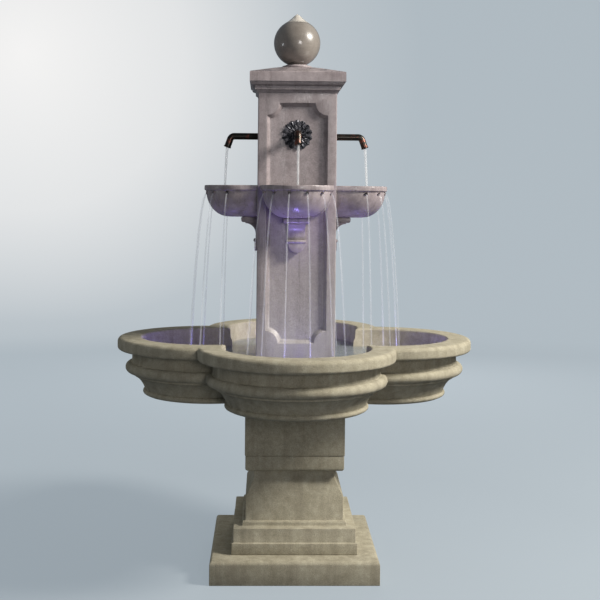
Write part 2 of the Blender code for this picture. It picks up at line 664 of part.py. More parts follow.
def build_bowls():
    low, high = 0.0, BOWL_HEIGHT
    rim_low = high - BOWL_RIM_THICKNESS
    body_reach = BOWL_BODY_RADIUS - BOWL_FOOT_RADIUS
    side = bowl_side(BOWL_FOOT_RADIUS, body_reach, rim_low, 5)
    outside = [(0.0, high), (BOWL_RIM_RADIUS, high), (BOWL_RIM_RADIUS, rim_low), *side, (0.0, low)]
    inner_rise = high - BOWL_WALL
    inner = [(radius, height + BOWL_WALL) for radius, height in
             bowl_side(BOWL_FOOT_RADIUS, body_reach - BOWL_WALL, inner_rise, 4)]
    inside = [(0.0, high + OVERRUN), (inner[0][0], high + OVERRUN), *inner, (0.0, BOWL_WALL)]
    back = BOWL_STRAIGHT - TOUCH
    body = half_round("bowl", outside, back)
    tongue_low = PANEL_DEPTH + OVERRUN
    tongue = box("tongue", (-BOWL_TONGUE, back - OVERRUN, tongue_low),
                 (BOWL_TONGUE, back + PANEL_DEPTH, rim_low))
    weirs = []
    for angle in WEIR_ANGLES:
        outward = Vector((math.sin(math.radians(angle)), -math.cos(math.radians(angle)), 0.0))
        level = Vector((0, 0, high - WEIR_DROP))
        weirs.append(cylinder("weir", WEIR_RADIUS, level + outward * BOWL_BODY_RADIUS * 0.6,
                              level + outward * BOWL_RIM_RADIUS * 1.1, sides=6))
    join(body, tongue)
    cut(body, half_round("bowl_inside", inside, back - BOWL_WALL), *weirs)
    place = Matrix.Translation((0, -BOWL_AXIS, BOWL_UNDERSIDE))
    repeat(moved(body, place), "bowl", WET_STONE)


def build_corbels():
    high = BOWL_UNDERSIDE - TOUCH
    start = PANEL_FACE + TOUCH
    half = CORBEL_TOP_WIDTH / 2
    top = box("corbel_top", (-half, -COLUMN_FACE - CORBEL_REACH, high - CORBEL_TOP_HEIGHT),
              (half, -start, high))
    # The bracket's side view, out from the panel: a cove, a nose and a scroll end.
    shoulder = high - CORBEL_TOP_HEIGHT
    outer = COLUMN_FACE + CORBEL_BODY_REACH
    hollow = CORBEL_BODY_REACH - CORBEL_TOP_HEIGHT / 4
    foot = high - CORBEL_HEIGHT
    nose = COLUMN_FACE + CORBEL_TOP_HEIGHT * 0.7
    scroll = [(nose, foot + CORBEL_TOP_HEIGHT * 2), (nose, foot + CORBEL_TOP_HEIGHT * 0.6),
              (nose - CORBEL_TOP_HEIGHT * 0.3, foot)]
    side = [(start, shoulder + OVERRUN), (outer, shoulder + OVERRUN),
            *arc((outer, shoulder - hollow), hollow, 90, 180, 6), *scroll, (start, foot)]
    body = plate("corbel", [side], CORBEL_BODY_WIDTH)
    # The plate's X becomes -Y, its Y becomes Z, and its thickness lies along X.
    upright = Matrix(((0, 0, 1, 0), (-1, 0, 0, 0), (0, 1, 0, 0), (0, 0, 0, 1)))
    moved(body, upright @ Matrix.Diagonal((1, 1, -1, 1)))
    repeat(join(top, body), "corbel", WET_STONE)


# Spouts, drawn for the front and repeated
def spout_path():
    """From inside the column out to the bend and down the leaning outlet leg, in the plane x = 0."""
    turn = 90 - SPOUT_LEAN
    bend_start = COLUMN_FACE + SPOUT_REACH
    path = [(SPOUT_TAIL_END, SPOUT_HEIGHT), (COLUMN_FACE, SPOUT_HEIGHT)]
    path += arc((bend_start, SPOUT_HEIGHT - SPOUT_BEND_RADIUS), SPOUT_BEND_RADIUS, 90, 90 - turn, 4)
    lean = math.radians(SPOUT_LEAN)
    path.append((path[-1][0] + SPOUT_DROP * math.sin(lean), path[-1][1] - SPOUT_DROP * math.cos(lean)))
    return [Vector((0.0, -out, up)) for out, up in path]


def build_spouts():
    repeat(pipe("spout", spout_path(), SPOUT_RADIUS, SPOUT_BORE), "spout", BRONZE)
    edge = []
    for step in range(ROSETTE_LOBES * 4):
        turn = 2 * math.pi * step / (ROSETTE_LOBES * 4)
        reach = ROSETTE_RADIUS - ROSETTE_SCALLOP * (1 - abs(math.sin(turn * ROSETTE_LOBES / 2)))
        edge.append((reach * math.cos(turn), reach * math.sin(turn)))
    eye = arc((0.0, 0.0), SPOUT_RADIUS + TOUCH * 3, 0, -330, 11)
    rosette = plate("rosette", [edge, eye], ROSETTE_THICKNESS)
    middle = PANEL_FACE + TOUCH + ROSETTE_THICKNESS / 2
    moved(rosette, Matrix.Translation((0, -middle, SPOUT_HEIGHT)) @ ALONG_Y)
    repeat(rosette, "rosette", BRONZE)
    nut = cylinder("nut", NUT_RADIUS, (0, 0, 0), (0, 0, NUT_THICKNESS), sides=6)
    thread = hole("thread", SPOUT_RADIUS + TOUCH, (0, 0, -OVERRUN), (0, 0, NUT_THICKNESS + OVERRUN))
    start = CAVITY_FACE - TOUCH - NUT_THICKNESS
    moved(cut(nut, thread), Matrix.Translation((0, -start, SPOUT_HEIGHT)) @ ALONG_Y)
    repeat(nut, "spout_nut", BRASS)


# Manifold, supply tubes, valve and riser hose, all on the column's axis
def build_manifold():
    low, high = MANIFOLD_HEIGHT - MANIFOLD_HALF_HEIGHT, MANIFOLD_HEIGHT + MANIFOLD_HALF_HEIGHT
    body = cylinder("manifold", MANIFOLD_RADIUS, (0, 0, low + TOUCH), (0, 0, high))
    bore = cylinder("manifold_bore", SUPPLY_BORE, (0, 0, low - OVERRUN), (0, 0, high + OVERRUN))
    middle = Vector((0, 0, MANIFOLD_HEIGHT))
    ways = [bore]
    for direction in (Vector((1, 0, 0)), Vector((0, 1, 0))):
        stub, way = direction * (SUPPLY_START - TOUCH), direction * (SUPPLY_START + OVERRUN)
        join(body, cylinder("manifold_stub", SUPPLY_RADIUS, middle - stub, middle + stub))
        ways.append(cylinder("manifold_way", SUPPLY_BORE, middle - way, middle + way))
    finish(cut(body, *ways, solver="MANIFOLD"), "manifold", GREY_PLASTIC)
    end = SPOUT_TAIL_END - TOUCH - SUPPLY_STRAIGHT
    path = [(SUPPLY_START, MANIFOLD_HEIGHT),
            *arc((SUPPLY_START + SUPPLY_STRAIGHT, MANIFOLD_HEIGHT + SUPPLY_BEND), SUPPLY_BEND, -90, 0, 4),
            *arc((end, SPOUT_HEIGHT - SUPPLY_BEND), SUPPLY_BEND, 180, 90, 4),
            (end + SUPPLY_STRAIGHT, SPOUT_HEIGHT)]
    points = [Vector((0.0, -out, up)) for out, up in path]
    repeat(pipe("supply", points, SUPPLY_RADIUS, SUPPLY_BORE, resolution=2), "supply_tube", CLEAR_HOSE)


def build_valve():
    middle = Vector((0, 0, VALVE_HEIGHT))
    high = VALVE_HEIGHT + VALVE_HALF_HEIGHT - TOUCH
    chamber = BALL_VALVE_RADIUS + SLIP
    seat = VALVE_HEIGHT - VALVE_BODY_RADIUS
    outside = [(0.0, high), (VALVE_NECK_RADIUS, high), (VALVE_NECK_RADIUS, VALVE_HEIGHT + chamber),
               (VALVE_BODY_RADIUS, VALVE_HEIGHT + chamber / 2), (VALVE_BODY_RADIUS, seat), (0.0, seat)]
    body = turned("valve", outside, steps=12)
    stem_way = Vector((0, STEM_BOSS_REACH, 0))
    join(body, cylinder("stem_boss", STEM_BOSS_RADIUS, middle, middle + stem_way))
    hollow = [(0.0, high + OVERRUN), (VALVE_BORE, high + OVERRUN),
              *arc((0.0, VALVE_HEIGHT), chamber, math.degrees(math.acos(VALVE_BORE / chamber)), 0, 3),
              (chamber, seat - OVERRUN), (0.0, seat - OVERRUN)]
    cut(body, turned("valve_hollow", hollow, steps=12),
        hole("stem_hole", STEM_RADIUS + SLIP / 2, middle + stem_way / 4, middle + stem_way * 1.2),
        solver="MANIFOLD")
    finish(body, "valve_body", BRASS)

    # The tail screws up into the body, holds the ball, and ends in a barb for the hose.
    plug, flange = chamber - TOUCH, seat - TOUCH
    barb_end = flange - VALVE_TAIL_FLANGE - BARB_LENGTH
    tail = [(VALVE_BORE, VALVE_HEIGHT - BALL_VALVE_RADIUS - SLIP),
            (plug, VALVE_HEIGHT - BALL_VALVE_RADIUS - SLIP), (plug, flange), (VALVE_BODY_RADIUS, flange),
            (VALVE_BODY_RADIUS, flange - VALVE_TAIL_FLANGE), (BARB_RADIUS, flange - VALVE_TAIL_FLANGE),
            (BARB_RADIUS, barb_end), (VALVE_BORE, barb_end)]
    finish(turned("valve_tail", tail, steps=12, closed=True), "valve_tail", BRASS)

    ball = turned("valve_ball", arc((0.0, VALVE_HEIGHT), BALL_VALVE_RADIUS, 90, -90, 8), steps=12)
    flat = BALL_VALVE_RADIUS * 0.86
    cut(ball, hole("ball_bore", VALVE_BORE, middle - Vector((0, 0, chamber)),
                   middle + Vector((0, 0, chamber))),
        box("ball_flat", middle + Vector((-chamber, flat, -chamber)),
            middle + Vector((chamber, chamber * 2, chamber))))
    finish(ball, "valve_ball", STEEL, axis=middle)

    face = STEM_BOSS_REACH + SLIP
    stem = cylinder("valve_stem", STEM_RADIUS, middle + Vector((0, flat + TOUCH, 0)),
                    middle + Vector((0, face + HANDLE_THICKNESS / 2, 0)))
    lever = box("lever", middle + Vector((-HANDLE_WIDTH / 2, face, -HANDLE_LENGTH)),
                middle + Vector((HANDLE_WIDTH / 2, face + HANDLE_THICKNESS, HANDLE_WIDTH / 2)))
    finish(join(stem, lever), "valve_handle", STEEL, axis=middle)
    return flange - VALVE_TAIL_FLANGE


def hose_clamp(name, hose_radius, low):
    bore = hose_radius + TOUCH
    outer = bore + CLAMP_WALL
    ring = turned(name, [(bore, low + CLAMP_HEIGHT), (outer, low + CLAMP_HEIGHT), (outer, low),
                         (bore, low)], steps=12, closed=True)
    lug = box(name + "_lug", (bore + CLAMP_WALL / 2, -CLAMP_HEIGHT, low + CLAMP_WALL / 2),
              (outer + CLAMP_HEIGHT * 0.8, CLAMP_HEIGHT, low + CLAMP_HEIGHT - CLAMP_WALL / 2))
    finish(join(ring, lug), name, STEEL)


def build_riser_hose(hose_top):
    bore = BARB_RADIUS + TOUCH
    outer = bore + HOSE_WALL
    low, high = PUMP_TOP + TOUCH, hose_top - TOUCH
    loop = [(bore, high), (outer, high), (outer, low), (bore, low)]
    finish(turned("hose", loop, steps=12, closed=True), "riser_hose", CLEAR_HOSE)
    hose_clamp("hose_clamp_lower", outer, low + CLAMP_HEIGHT / 2)
    hose_clamp("hose_clamp_upper", outer, high - CLAMP_HEIGHT * 1.5)


# Pump, with its rotor's axis along Y and its outlet on the column's axis
def build_pump():
    half = PUMP_WIDTH / 2
    low = FLOOR + PUMP_BASE_THICKNESS
    cover_back = -PUMP_FRONT - TOUCH
    cover_front = cover_back - COVER_THICKNESS
    dial_back = cover_front - TOUCH
    dial_front = dial_back - DIAL_THICKNESS
    base = box("pump_base", (-half - PUMP_BASE_LIP, dial_front, FLOOR + TOUCH),
               (half + PUMP_BASE_LIP, PUMP_REAR + PUMP_BASE_LIP, low))
    finish(base, "pump_base", RUBBER)

    def on_axis(y):
        return Vector((0, y, CHAMBER_HEIGHT))

    body = box("pump", (-half, -PUMP_FRONT, low + TOUCH), (half, PUMP_REAR, PUMP_TOP))
    barb = cylinder("pump_barb", BARB_RADIUS, (0, 0, CHAMBER_HEIGHT), (0, 0, PUMP_TOP + BARB_LENGTH))
    well_end = CHAMBER_DEPTH - PUMP_FRONT + ROTOR_LENGTH + SLIP
    cut(join(body, barb),
        hole("chamber", CHAMBER_RADIUS, on_axis(-PUMP_FRONT - OVERRUN),
             on_axis(CHAMBER_DEPTH - PUMP_FRONT), sides=24),
        hole("rotor_well", ROTOR_RADIUS + SLIP, on_axis(0), on_axis(well_end)),
        hole("outlet", VALVE_BORE, (0, 0, CHAMBER_HEIGHT + CHAMBER_RADIUS / 2),
             (0, 0, PUMP_TOP + BARB_LENGTH + OVERRUN)))
    finish(body, "pump_body", BLACK_PLASTIC)

    rotor_front = CHAMBER_DEPTH - PUMP_FRONT
    disc_front = rotor_front - SLIP - DISC_THICKNESS
    vane_front = -PUMP_FRONT + SLIP * 2
    rotor = cylinder("rotor", ROTOR_RADIUS, on_axis(rotor_front - SLIP * 2), on_axis(well_end - SLIP))
    disc = cylinder("rotor_disc", VANE_RADIUS, on_axis(disc_front), on_axis(rotor_front - SLIP), sides=24)
    join(rotor, disc)
    for index in range(VANE_COUNT):
        turn = Matrix.Rotation(2 * math.pi * index / VANE_COUNT, 4, "Y")
        vane = box("vane", (SHAFT_RADIUS * 2.5, vane_front, -VANE_THICKNESS / 2),
                   (VANE_RADIUS * 0.96, disc_front + SLIP, VANE_THICKNESS / 2))
        join(rotor, moved(vane, Matrix.Translation(on_axis(0)) @ turn))
    cut(rotor, hole("rotor_bore", SHAFT_RADIUS + SLIP / 2, on_axis(-PUMP_FRONT),
                    on_axis(well_end + OVERRUN)))
    finish(rotor, "pump_impeller", GREY_PLASTIC, axis=on_axis(0))

    # The shaft spans from a socket in the cover to the end of the rotor's well.
    socket = cover_back - COVER_THICKNESS / 2
    shaft = cylinder("shaft", SHAFT_RADIUS, on_axis(socket + TOUCH), on_axis(well_end - TOUCH))
    finish(shaft, "pump_shaft", CERAMIC)

    cover = box("cover", (-half, cover_front, low + TOUCH), (half, cover_back, PUMP_TOP))
    pivot = cylinder("pivot", PIVOT_RADIUS, on_axis(socket), on_axis(dial_front))
    join(cover, pivot)
    cut(cover, hole("socket", SHAFT_RADIUS + TOUCH, on_axis(socket), on_axis(cover_back + OVERRUN)))
    dial = cylinder("dial", DIAL_RADIUS, on_axis(dial_front), on_axis(dial_back), sides=24)
    for index in range(SLOT_COUNT):
        turn = Matrix.Translation(on_axis(0)) @ Matrix.Rotation(2 * math.pi * index / SLOT_COUNT, 4, "Y")
        slot = box("slot", (DIAL_RADIUS * 0.36, dial_front - OVERRUN, -PIVOT_RADIUS * 0.8),
                   (DIAL_RADIUS * 0.88, cover_back + OVERRUN, PIVOT_RADIUS * 0.8))
        moved(slot, turn)
        cut(cover, slot)
        cut(dial, slot)
    finish(cover, "pump_cover", BLACK_PLASTIC)
    cut(dial, hole("dial_bore", PIVOT_RADIUS + TOUCH, on_axis(dial_front - OVERRUN),
                   on_axis(dial_back + OVERRUN)))
    join(dial, box("dial_tab", on_axis(dial_front) + Vector((-TAB_WIDTH / 2, 0, DIAL_RADIUS - TAB_WIDTH / 2)),
                   on_axis(dial_back) + Vector((TAB_WIDTH / 2, 0, DIAL_RADIUS + TAB_REACH))))
    finish(dial, "pump_flow_dial", GREY_PLASTIC, axis=on_axis(dial_back))


# Drain and overflow in the rear lobe, and the gland for the leads
def build_drain():
    seat = FLOOR + GASKET_THICKNESS
    flange_top = seat + FLANGE_THICKNESS
    tail = BASIN_UNDERSIDE - DRAIN_TAIL
    fitting = [(DRAIN_BORE, flange_top), (DRAIN_FLANGE_RADIUS, flange_top), (DRAIN_FLANGE_RADIUS, seat),
               (DRAIN_RADIUS, seat), (DRAIN_RADIUS, tail), (DRAIN_BORE, tail)]
    gasket = [(DRAIN_RADIUS + TOUCH, seat - TOUCH), (DRAIN_FLANGE_RADIUS, seat - TOUCH),
              (DRAIN_FLANGE_RADIUS, FLOOR + TOUCH), (DRAIN_RADIUS + TOUCH, FLOOR + TOUCH)]
    nut_top = BASIN_UNDERSIDE - TOUCH
    nut = [(DRAIN_RADIUS * 1.06, nut_top), (DRAIN_FLANGE_RADIUS, nut_top),
           (DRAIN_FLANGE_RADIUS, nut_top - NUT_THICKNESS), (DRAIN_RADIUS * 1.06, nut_top - NUT_THICKNESS)]
    pipe_radius, pipe_foot = DRAIN_BORE - SLIP / 2, FLOOR - FLOOR_THICKNESS / 2
    standpipe = [(STANDPIPE_BORE, FLOOR + WATER_DEPTH), (pipe_radius, FLOOR + WATER_DEPTH),
                 (pipe_radius, pipe_foot), (STANDPIPE_BORE, pipe_foot)]
    for name, loop, stuff in (("drain_fitting", fitting, GREY_PLASTIC), ("drain_gasket", gasket, RUBBER),
                              ("drain_nut", nut, GREY_PLASTIC), ("overflow_standpipe", standpipe, COPPER)):
        part = turned(name, loop, steps=16, closed=True)
        moved(part, Matrix.Translation((0, LOBE_OFFSET, 0)))
        finish(part, name, stuff, axis=(0, LOBE_OFFSET, 0))


def build_gland():
    base = FLOOR + TOUCH
    top = base + GLAND_HEAD_HEIGHT
    tail = BASIN_UNDERSIDE - GLAND_TAIL
    body = [(GLAND_BORE, top), (GLAND_HEAD_RADIUS * 0.7, top), (GLAND_HEAD_RADIUS, top - GLAND_BORE),
            (GLAND_HEAD_RADIUS, base), (GLAND_RADIUS, base), (GLAND_RADIUS, tail), (GLAND_BORE, tail)]
    nut_top = BASIN_UNDERSIDE - TOUCH
    nut = [(GLAND_RADIUS + TOUCH, nut_top), (GLAND_HEAD_RADIUS, nut_top),
           (GLAND_HEAD_RADIUS, nut_top - NUT_THICKNESS), (GLAND_RADIUS + TOUCH, nut_top - NUT_THICKNESS)]
    for name, loop in (("cable_gland", body), ("gland_nut", nut)):
        part = moved(turned(name, loop, steps=12, closed=True), Matrix.Translation((GLAND_OFFSET, 0, 0)))
        finish(part, name, GREY_PLASTIC)


# Lights on the floor of the lobes
def build_lights():
    base = FLOOR + TOUCH
    top = base + LIGHT_HEIGHT
    bezel = LIGHT_RADIUS * 0.8
    profile = [(0.0, top), (bezel * 0.6, top - LIGHT_HEIGHT * 0.06), (bezel, top - LIGHT_HEIGHT * 0.3),
               (LIGHT_RADIUS, top - LIGHT_HEIGHT * 0.4), (LIGHT_RADIUS, base), (0.0, base)]
    light = turned("light", profile, steps=20)
    repeat(moved(light, Matrix.Translation((0, -LIGHT_OFFSET, 0))), "light", BLACK_PLASTIC)


build_plinth()
build_pedestal()
build_riser_block()
build_basin()
build_column()
build_intake_grille()
build_cap()
build_finial()
build_bubbler()
build_bowls()
build_corbels()
build_spouts()
build_manifold()
build_riser_hose(build_valve())
build_pump()
build_drain()
build_gland()
build_lights()
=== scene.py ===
import math

import bmesh
import bpy
from mathutils import Matrix, Vector, noise


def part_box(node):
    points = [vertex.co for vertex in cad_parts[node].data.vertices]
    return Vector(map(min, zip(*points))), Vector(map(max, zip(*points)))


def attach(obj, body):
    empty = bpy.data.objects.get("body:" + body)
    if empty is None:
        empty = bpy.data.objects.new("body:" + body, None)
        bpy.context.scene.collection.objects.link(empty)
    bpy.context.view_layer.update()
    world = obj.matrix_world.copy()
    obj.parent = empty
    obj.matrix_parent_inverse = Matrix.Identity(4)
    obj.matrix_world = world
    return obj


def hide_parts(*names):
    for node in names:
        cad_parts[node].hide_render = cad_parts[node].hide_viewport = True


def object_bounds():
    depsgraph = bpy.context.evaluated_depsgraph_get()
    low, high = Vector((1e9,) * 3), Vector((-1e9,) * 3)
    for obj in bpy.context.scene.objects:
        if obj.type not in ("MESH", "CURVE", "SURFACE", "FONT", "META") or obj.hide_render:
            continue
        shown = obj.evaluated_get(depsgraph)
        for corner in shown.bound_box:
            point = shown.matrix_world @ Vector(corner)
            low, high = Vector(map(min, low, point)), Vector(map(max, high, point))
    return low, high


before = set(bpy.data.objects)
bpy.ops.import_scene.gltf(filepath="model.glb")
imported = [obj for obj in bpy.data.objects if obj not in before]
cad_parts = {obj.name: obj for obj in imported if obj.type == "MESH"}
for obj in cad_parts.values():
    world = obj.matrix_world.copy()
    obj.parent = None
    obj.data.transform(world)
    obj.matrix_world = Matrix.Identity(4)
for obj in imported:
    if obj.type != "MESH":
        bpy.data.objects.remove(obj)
cad_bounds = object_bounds()


# Studio. A round room of pale blue-grey paper with painted light: it glows, dimmer near the middle and brighter
# out on the wall, and a painted pool of light lies high on the wall behind. A large soft lamp stands at the
# right and above, and weak ones fill in from other sides.
def add_object(name, data):
    made = bpy.data.objects.new(name, data)
    bpy.context.scene.collection.objects.link(made)
    return made


class Wire:
    """One socket of a finish's nodes. Arithmetic on it adds Math nodes, and node() adds any other kind."""

    def __init__(self, tree, socket=None):
        self.tree = tree
        self.socket = socket

    def node(self, kind, settings=None, inputs=None, output=0):
        made = self.tree.nodes.new("ShaderNode" + kind)
        for key, value in (settings or {}).items():
            if key == "stops":
                ramp = made.color_ramp.elements
                for spare in range(len(value) - 2):
                    ramp.new(0.5)
                for stop, (place, shade) in zip(ramp, value):
                    stop.position = place
                    stop.color = shade if isinstance(shade, tuple) else (shade, shade, shade, 1.0)
            else:
                setattr(made, key, value)
        for key, value in (inputs or {}).items():
            if isinstance(value, Wire):
                self.tree.links.new(value.socket, made.inputs[key])
            else:
                made.inputs[key].default_value = value
        return Wire(self.tree, made.outputs[output])

    def maths(self, operation, *values):
        return self.node("Math", {"operation": operation}, dict(enumerate(values)))

    def __add__(self, other):
        return self.maths("ADD", self, other)

    def __sub__(self, other):
        return self.maths("SUBTRACT", self, other)

    def __rsub__(self, other):
        return self.maths("SUBTRACT", other, self)

    def __mul__(self, other):
        return self.maths("MULTIPLY", self, other)

    __radd__ = __add__
    __rmul__ = __mul__

    def ramp(self, *stops):
        """Black and white, or colours, by this value."""
        return self.node("ValToRGB", {"stops": stops}, {"Fac": self})

    def blend(self, low, high):
        """The colour low where this is 0, and high where it is 1."""
        return self.node("Mix", {"data_type": "RGBA"}, {0: self, 6: low, 7: high}, output=2)

    def noise(self, scale, detail=4.0, roughness=0.55):
        """Cloudy noise from 0 to 1 on this vector."""
        return self.node("TexNoise", {}, {"Vector": self, "Scale": scale, "Detail": detail,
                                          "Roughness": roughness})

    def stretched(self, scale):
        return self.node("Mapping", {}, {"Vector": self, "Scale": scale})


def new_finish(name, **even):
    """A material, its shader and its Object coordinates. Even values go on the shader's own sockets."""
    made = bpy.data.materials.new(name)
    made.use_nodes = True
    tree = made.node_tree
    shader = tree.nodes["Principled BSDF"]
    for key, value in even.items():
        shader.inputs[key.replace("_", " ")].default_value = value
    place = Wire(tree).node("TexCoord", output="Object")
    return made, shader, place


def feed(shader, **varying):
    for key, wire in varying.items():
        wire.tree.links.new(wire.socket, shader.inputs[key.replace("_", " ")])


def relief(height, distance, strength=1.0):
    """A normal from a height in units of distance metres."""
    return height.node("Bump", {}, {"Height": height, "Distance": distance, "Strength": strength})


def rounded(bm, width, segments=3, angle=25.0):
    """Rounds every edge whose two faces meet at more than the angle."""
    sharp = [edge for edge in bm.edges if edge.is_manifold and edge.calc_face_angle() > math.radians(angle)]
    bmesh.ops.bevel(bm, geom=sharp, offset=width, segments=segments, affect="EDGES", profile=0.5,
                    material=-1, clamp_overlap=True)


def verts_in(geometry):
    return [item for item in geometry if isinstance(item, bmesh.types.BMVert)]


def edges_in(geometry):
    return [item for item in geometry if isinstance(item, bmesh.types.BMEdge)]


camera_distance, camera_height, camera_turn, camera_roll = 4.288, 1.369, -1.5, -0.5
camera = add_object("camera", bpy.data.cameras.new("camera"))
camera.data.lens = 67.8
camera.data.shift_x = 0.007
camera.data.shift_y = -0.170
camera.matrix_world = (Matrix.Rotation(math.radians(camera_turn), 4, "Z")
                       @ Matrix.Translation((0.0, -camera_distance, camera_height))
                       @ Matrix.Rotation(math.radians(camera_roll), 4, "Y")
                       @ Matrix.Rotation(math.radians(90), 4, "X"))
bpy.context.scene.camera = camera

studio_reach, cove_radius, wall_height = 9.5, 2.5, 8.0
bm = bmesh.new()
middle, cove_start = bm.verts.new((0, 0, 0)), bm.verts.new((studio_reach - cove_radius, 0, 0))
bm.edges.new((middle, cove_start))
centre = (studio_reach - cove_radius, 0, cove_radius)
last = bmesh.ops.spin(bm, geom=[cove_start], cent=centre, axis=(0, -1, 0), angle=math.radians(90),
                      steps=16)["geom_last"]
top = bmesh.ops.extrude_vert_indiv(bm, verts=verts_in(last))["verts"]
bmesh.ops.translate(bm, verts=top, vec=(0, 0, wall_height - cove_radius))
bmesh.ops.spin(bm, geom=[*bm.verts, *bm.edges], cent=(0, 0, 0), axis=(0, 0, 1), angle=2 * math.pi, steps=96,
               use_merge=True)
bmesh.ops.remove_doubles(bm, verts=bm.verts, dist=0.0001)
bmesh.ops.recalc_face_normals(bm, faces=bm.faces)
studio_mesh = bpy.data.meshes.new("round_studio")
bm.to_mesh(studio_mesh)
bm.free()
studio_mesh.shade_smooth()
studio = add_object("round_studio", studio_mesh)
backdrop, shader, place = new_finish("studio_paper", Roughness=0.9, Emission_Strength=1.0)
# Painted light: the paper's emission is a glow with no lamp behind it. It is dimmer near the middle, brighter
# on the far wall, and it lightens the floor's cast shadow. A painted pool of light sits high on the wall
# behind.
painted_pool_middle, painted_pool_reach = (-2.95, 9.0, 3.05), 4.7
pool = place.node("VectorMath", {"operation": "DISTANCE"}, {0: place, 1: painted_pool_middle}, "Value")
pool = (pool * (1 / painted_pool_reach)).ramp((0.0, 1.0), (0.40, 0.70), (0.74, 0.14), (1.0, 0.0))
away = place.node("VectorMath", {"operation": "LENGTH"}, {0: place}, "Value") * (1 / studio_reach)
painted_paper_glow = away.ramp((0.15, 0.0), (0.75, 1.0)).blend((0.270, 0.315, 0.350, 1), (0.395, 0.450, 0.490, 1))
feed(shader, Base_Color=place.noise(0.35, 2.0).blend((0.115, 0.128, 0.138, 1), (0.130, 0.142, 0.152, 1)),
     Emission_Color=pool.blend(painted_paper_glow, (0.86, 0.85, 0.84, 1)))
studio_mesh.materials.append(backdrop)
studio.visible_diffuse = False
studio.visible_glossy = False


def lamp(name, place, target, size, power, colour, glints=True):
    """A square soft lamp turned towards a point. Without glints it shows in no reflection."""
    made = add_object(name, bpy.data.lights.new(name, "AREA"))
    made.data.size = size
    made.data.energy = power
    made.data.color = colour
    made.visible_glossy = glints
    made.location = place
    made.rotation_euler = (Vector(target) - Vector(place)).to_track_quat("-Z", "Y").to_euler()


middle = (0.0, 0.0, (cad_bounds[0][2] + cad_bounds[1][2]) / 2)
lamp("key_lamp", (3.7, -1.45, 3.9), middle, 1.2, 440.0, (1.0, 0.965, 0.90))
lamp("front_lamp", (1.3, -5.6, 1.7), middle, 1.4, 58.0, (1.0, 0.96, 0.95))
lamp("rim_lamp", (-3.6, -0.9, 1.5), (0.0, 0.0, 1.4), 0.5, 5.0, (0.90, 0.94, 1.0))
lamp("left_lamp", (-4.4, 2.4, 2.3), middle, 2.0, 40.0, (0.95, 0.97, 1.0), glints=False)
lamp("rear_lamp", (0.6, 5.0, 2.6), middle, 2.4, 95.0, (1.0, 0.985, 0.96), glints=False)
world = bpy.data.worlds.new("studio_sky")
world.use_nodes = True
sky = world.node_tree.nodes["Background"].inputs
sky["Color"].default_value = (0.70, 0.79, 0.90, 1.0)
sky["Strength"].default_value = 0.15
bpy.context.scene.world = world
bpy.context.scene.view_settings.view_transform = "Standard"


# Cast stone. The base, the plinth and the basin are dry: sandy khaki-grey with pits and brown stains. The
# column and what hangs on it is the same mix, wet, so it is darker, mauve and half glossy, and low down it is
# paler grey, which is painted light from below.
def stone_finish(name, pale, deep, stain, rough, wetness, painted_low_light):
    """Wetness, from 0 to 1, is how far the damp runs shine. Painted low light is how much paler grey, painted
    light from below, goes on the lower part.
    """
    made, shader, place = new_finish(name, Specular_IOR_Level=0.5)
    cloud = place.noise(5.0, 5.0, 0.6)
    mottle = place.noise(38.0, 4.0, 0.65)
    grain = place.noise(420.0, 2.0, 0.5)
    runs = place.stretched((22.0, 22.0, 1.4)).noise(1.0, 4.0, 0.6)
    pits = place.node("TexVoronoi", {"feature": "F1"}, {"Vector": place, "Scale": 95.0}, output="Distance")
    body = (cloud * 0.5 + mottle * 0.5).ramp((0.36, 0.0), (0.64, 1.0)).blend(deep, pale)
    # Painted light: lower down, the stone is blended towards a paler grey that stands in for light from below.
    low_light_mask = (place.node("SeparateXYZ", {}, {"Vector": place}, "Z") * 0.5).ramp((0.44, 1.0), (0.66, 0.0))
    body = (low_light_mask * painted_low_light).blend(body, (0.400, 0.395, 0.375, 1.0))
    soiled = (runs * 0.6 + cloud * 0.4).ramp((0.46, 0.0), (0.66, 1.0)) * 0.55
    body = soiled.blend(body, stain)
    hole = pits.ramp((0.05, 1.0), (0.17, 0.0)) * mottle.ramp((0.50, 0.0), (0.62, 1.0))
    speck = grain.ramp((0.30, 0.72), (0.70, 1.16))
    dotted = hole.blend(body, (deep[0] * 0.45, deep[1] * 0.45, deep[2] * 0.45, 1.0))
    colour = place.node("Mix", {"data_type": "RGBA", "blend_type": "MULTIPLY"},
                        {0: 1.0, 6: dotted, 7: speck}, output=2)
    wet = runs.ramp((0.38, 0.0), (0.60, 1.0)) * wetness
    roughness = (1.0 - wet) * rough + wet * 0.16 + (grain - 0.5) * 0.12
    height = grain * 0.30 + mottle * 0.45 - hole * 0.9 + cloud * 1.2
    feed(shader, Base_Color=colour, Roughness=roughness, Normal=relief(height, 0.0016, 0.75 - wetness * 0.25))
    return made


dry_stone = stone_finish("dry_cast_stone", (0.440, 0.405, 0.305, 1), (0.275, 0.248, 0.175, 1),
                         (0.165, 0.142, 0.098, 1), 0.92, 0.0, 0.0)
wet_stone = stone_finish("wet_cast_stone", (0.402, 0.345, 0.350, 1), (0.232, 0.196, 0.200, 1),
                         (0.125, 0.106, 0.104, 1), 0.60, 0.85, 0.55)


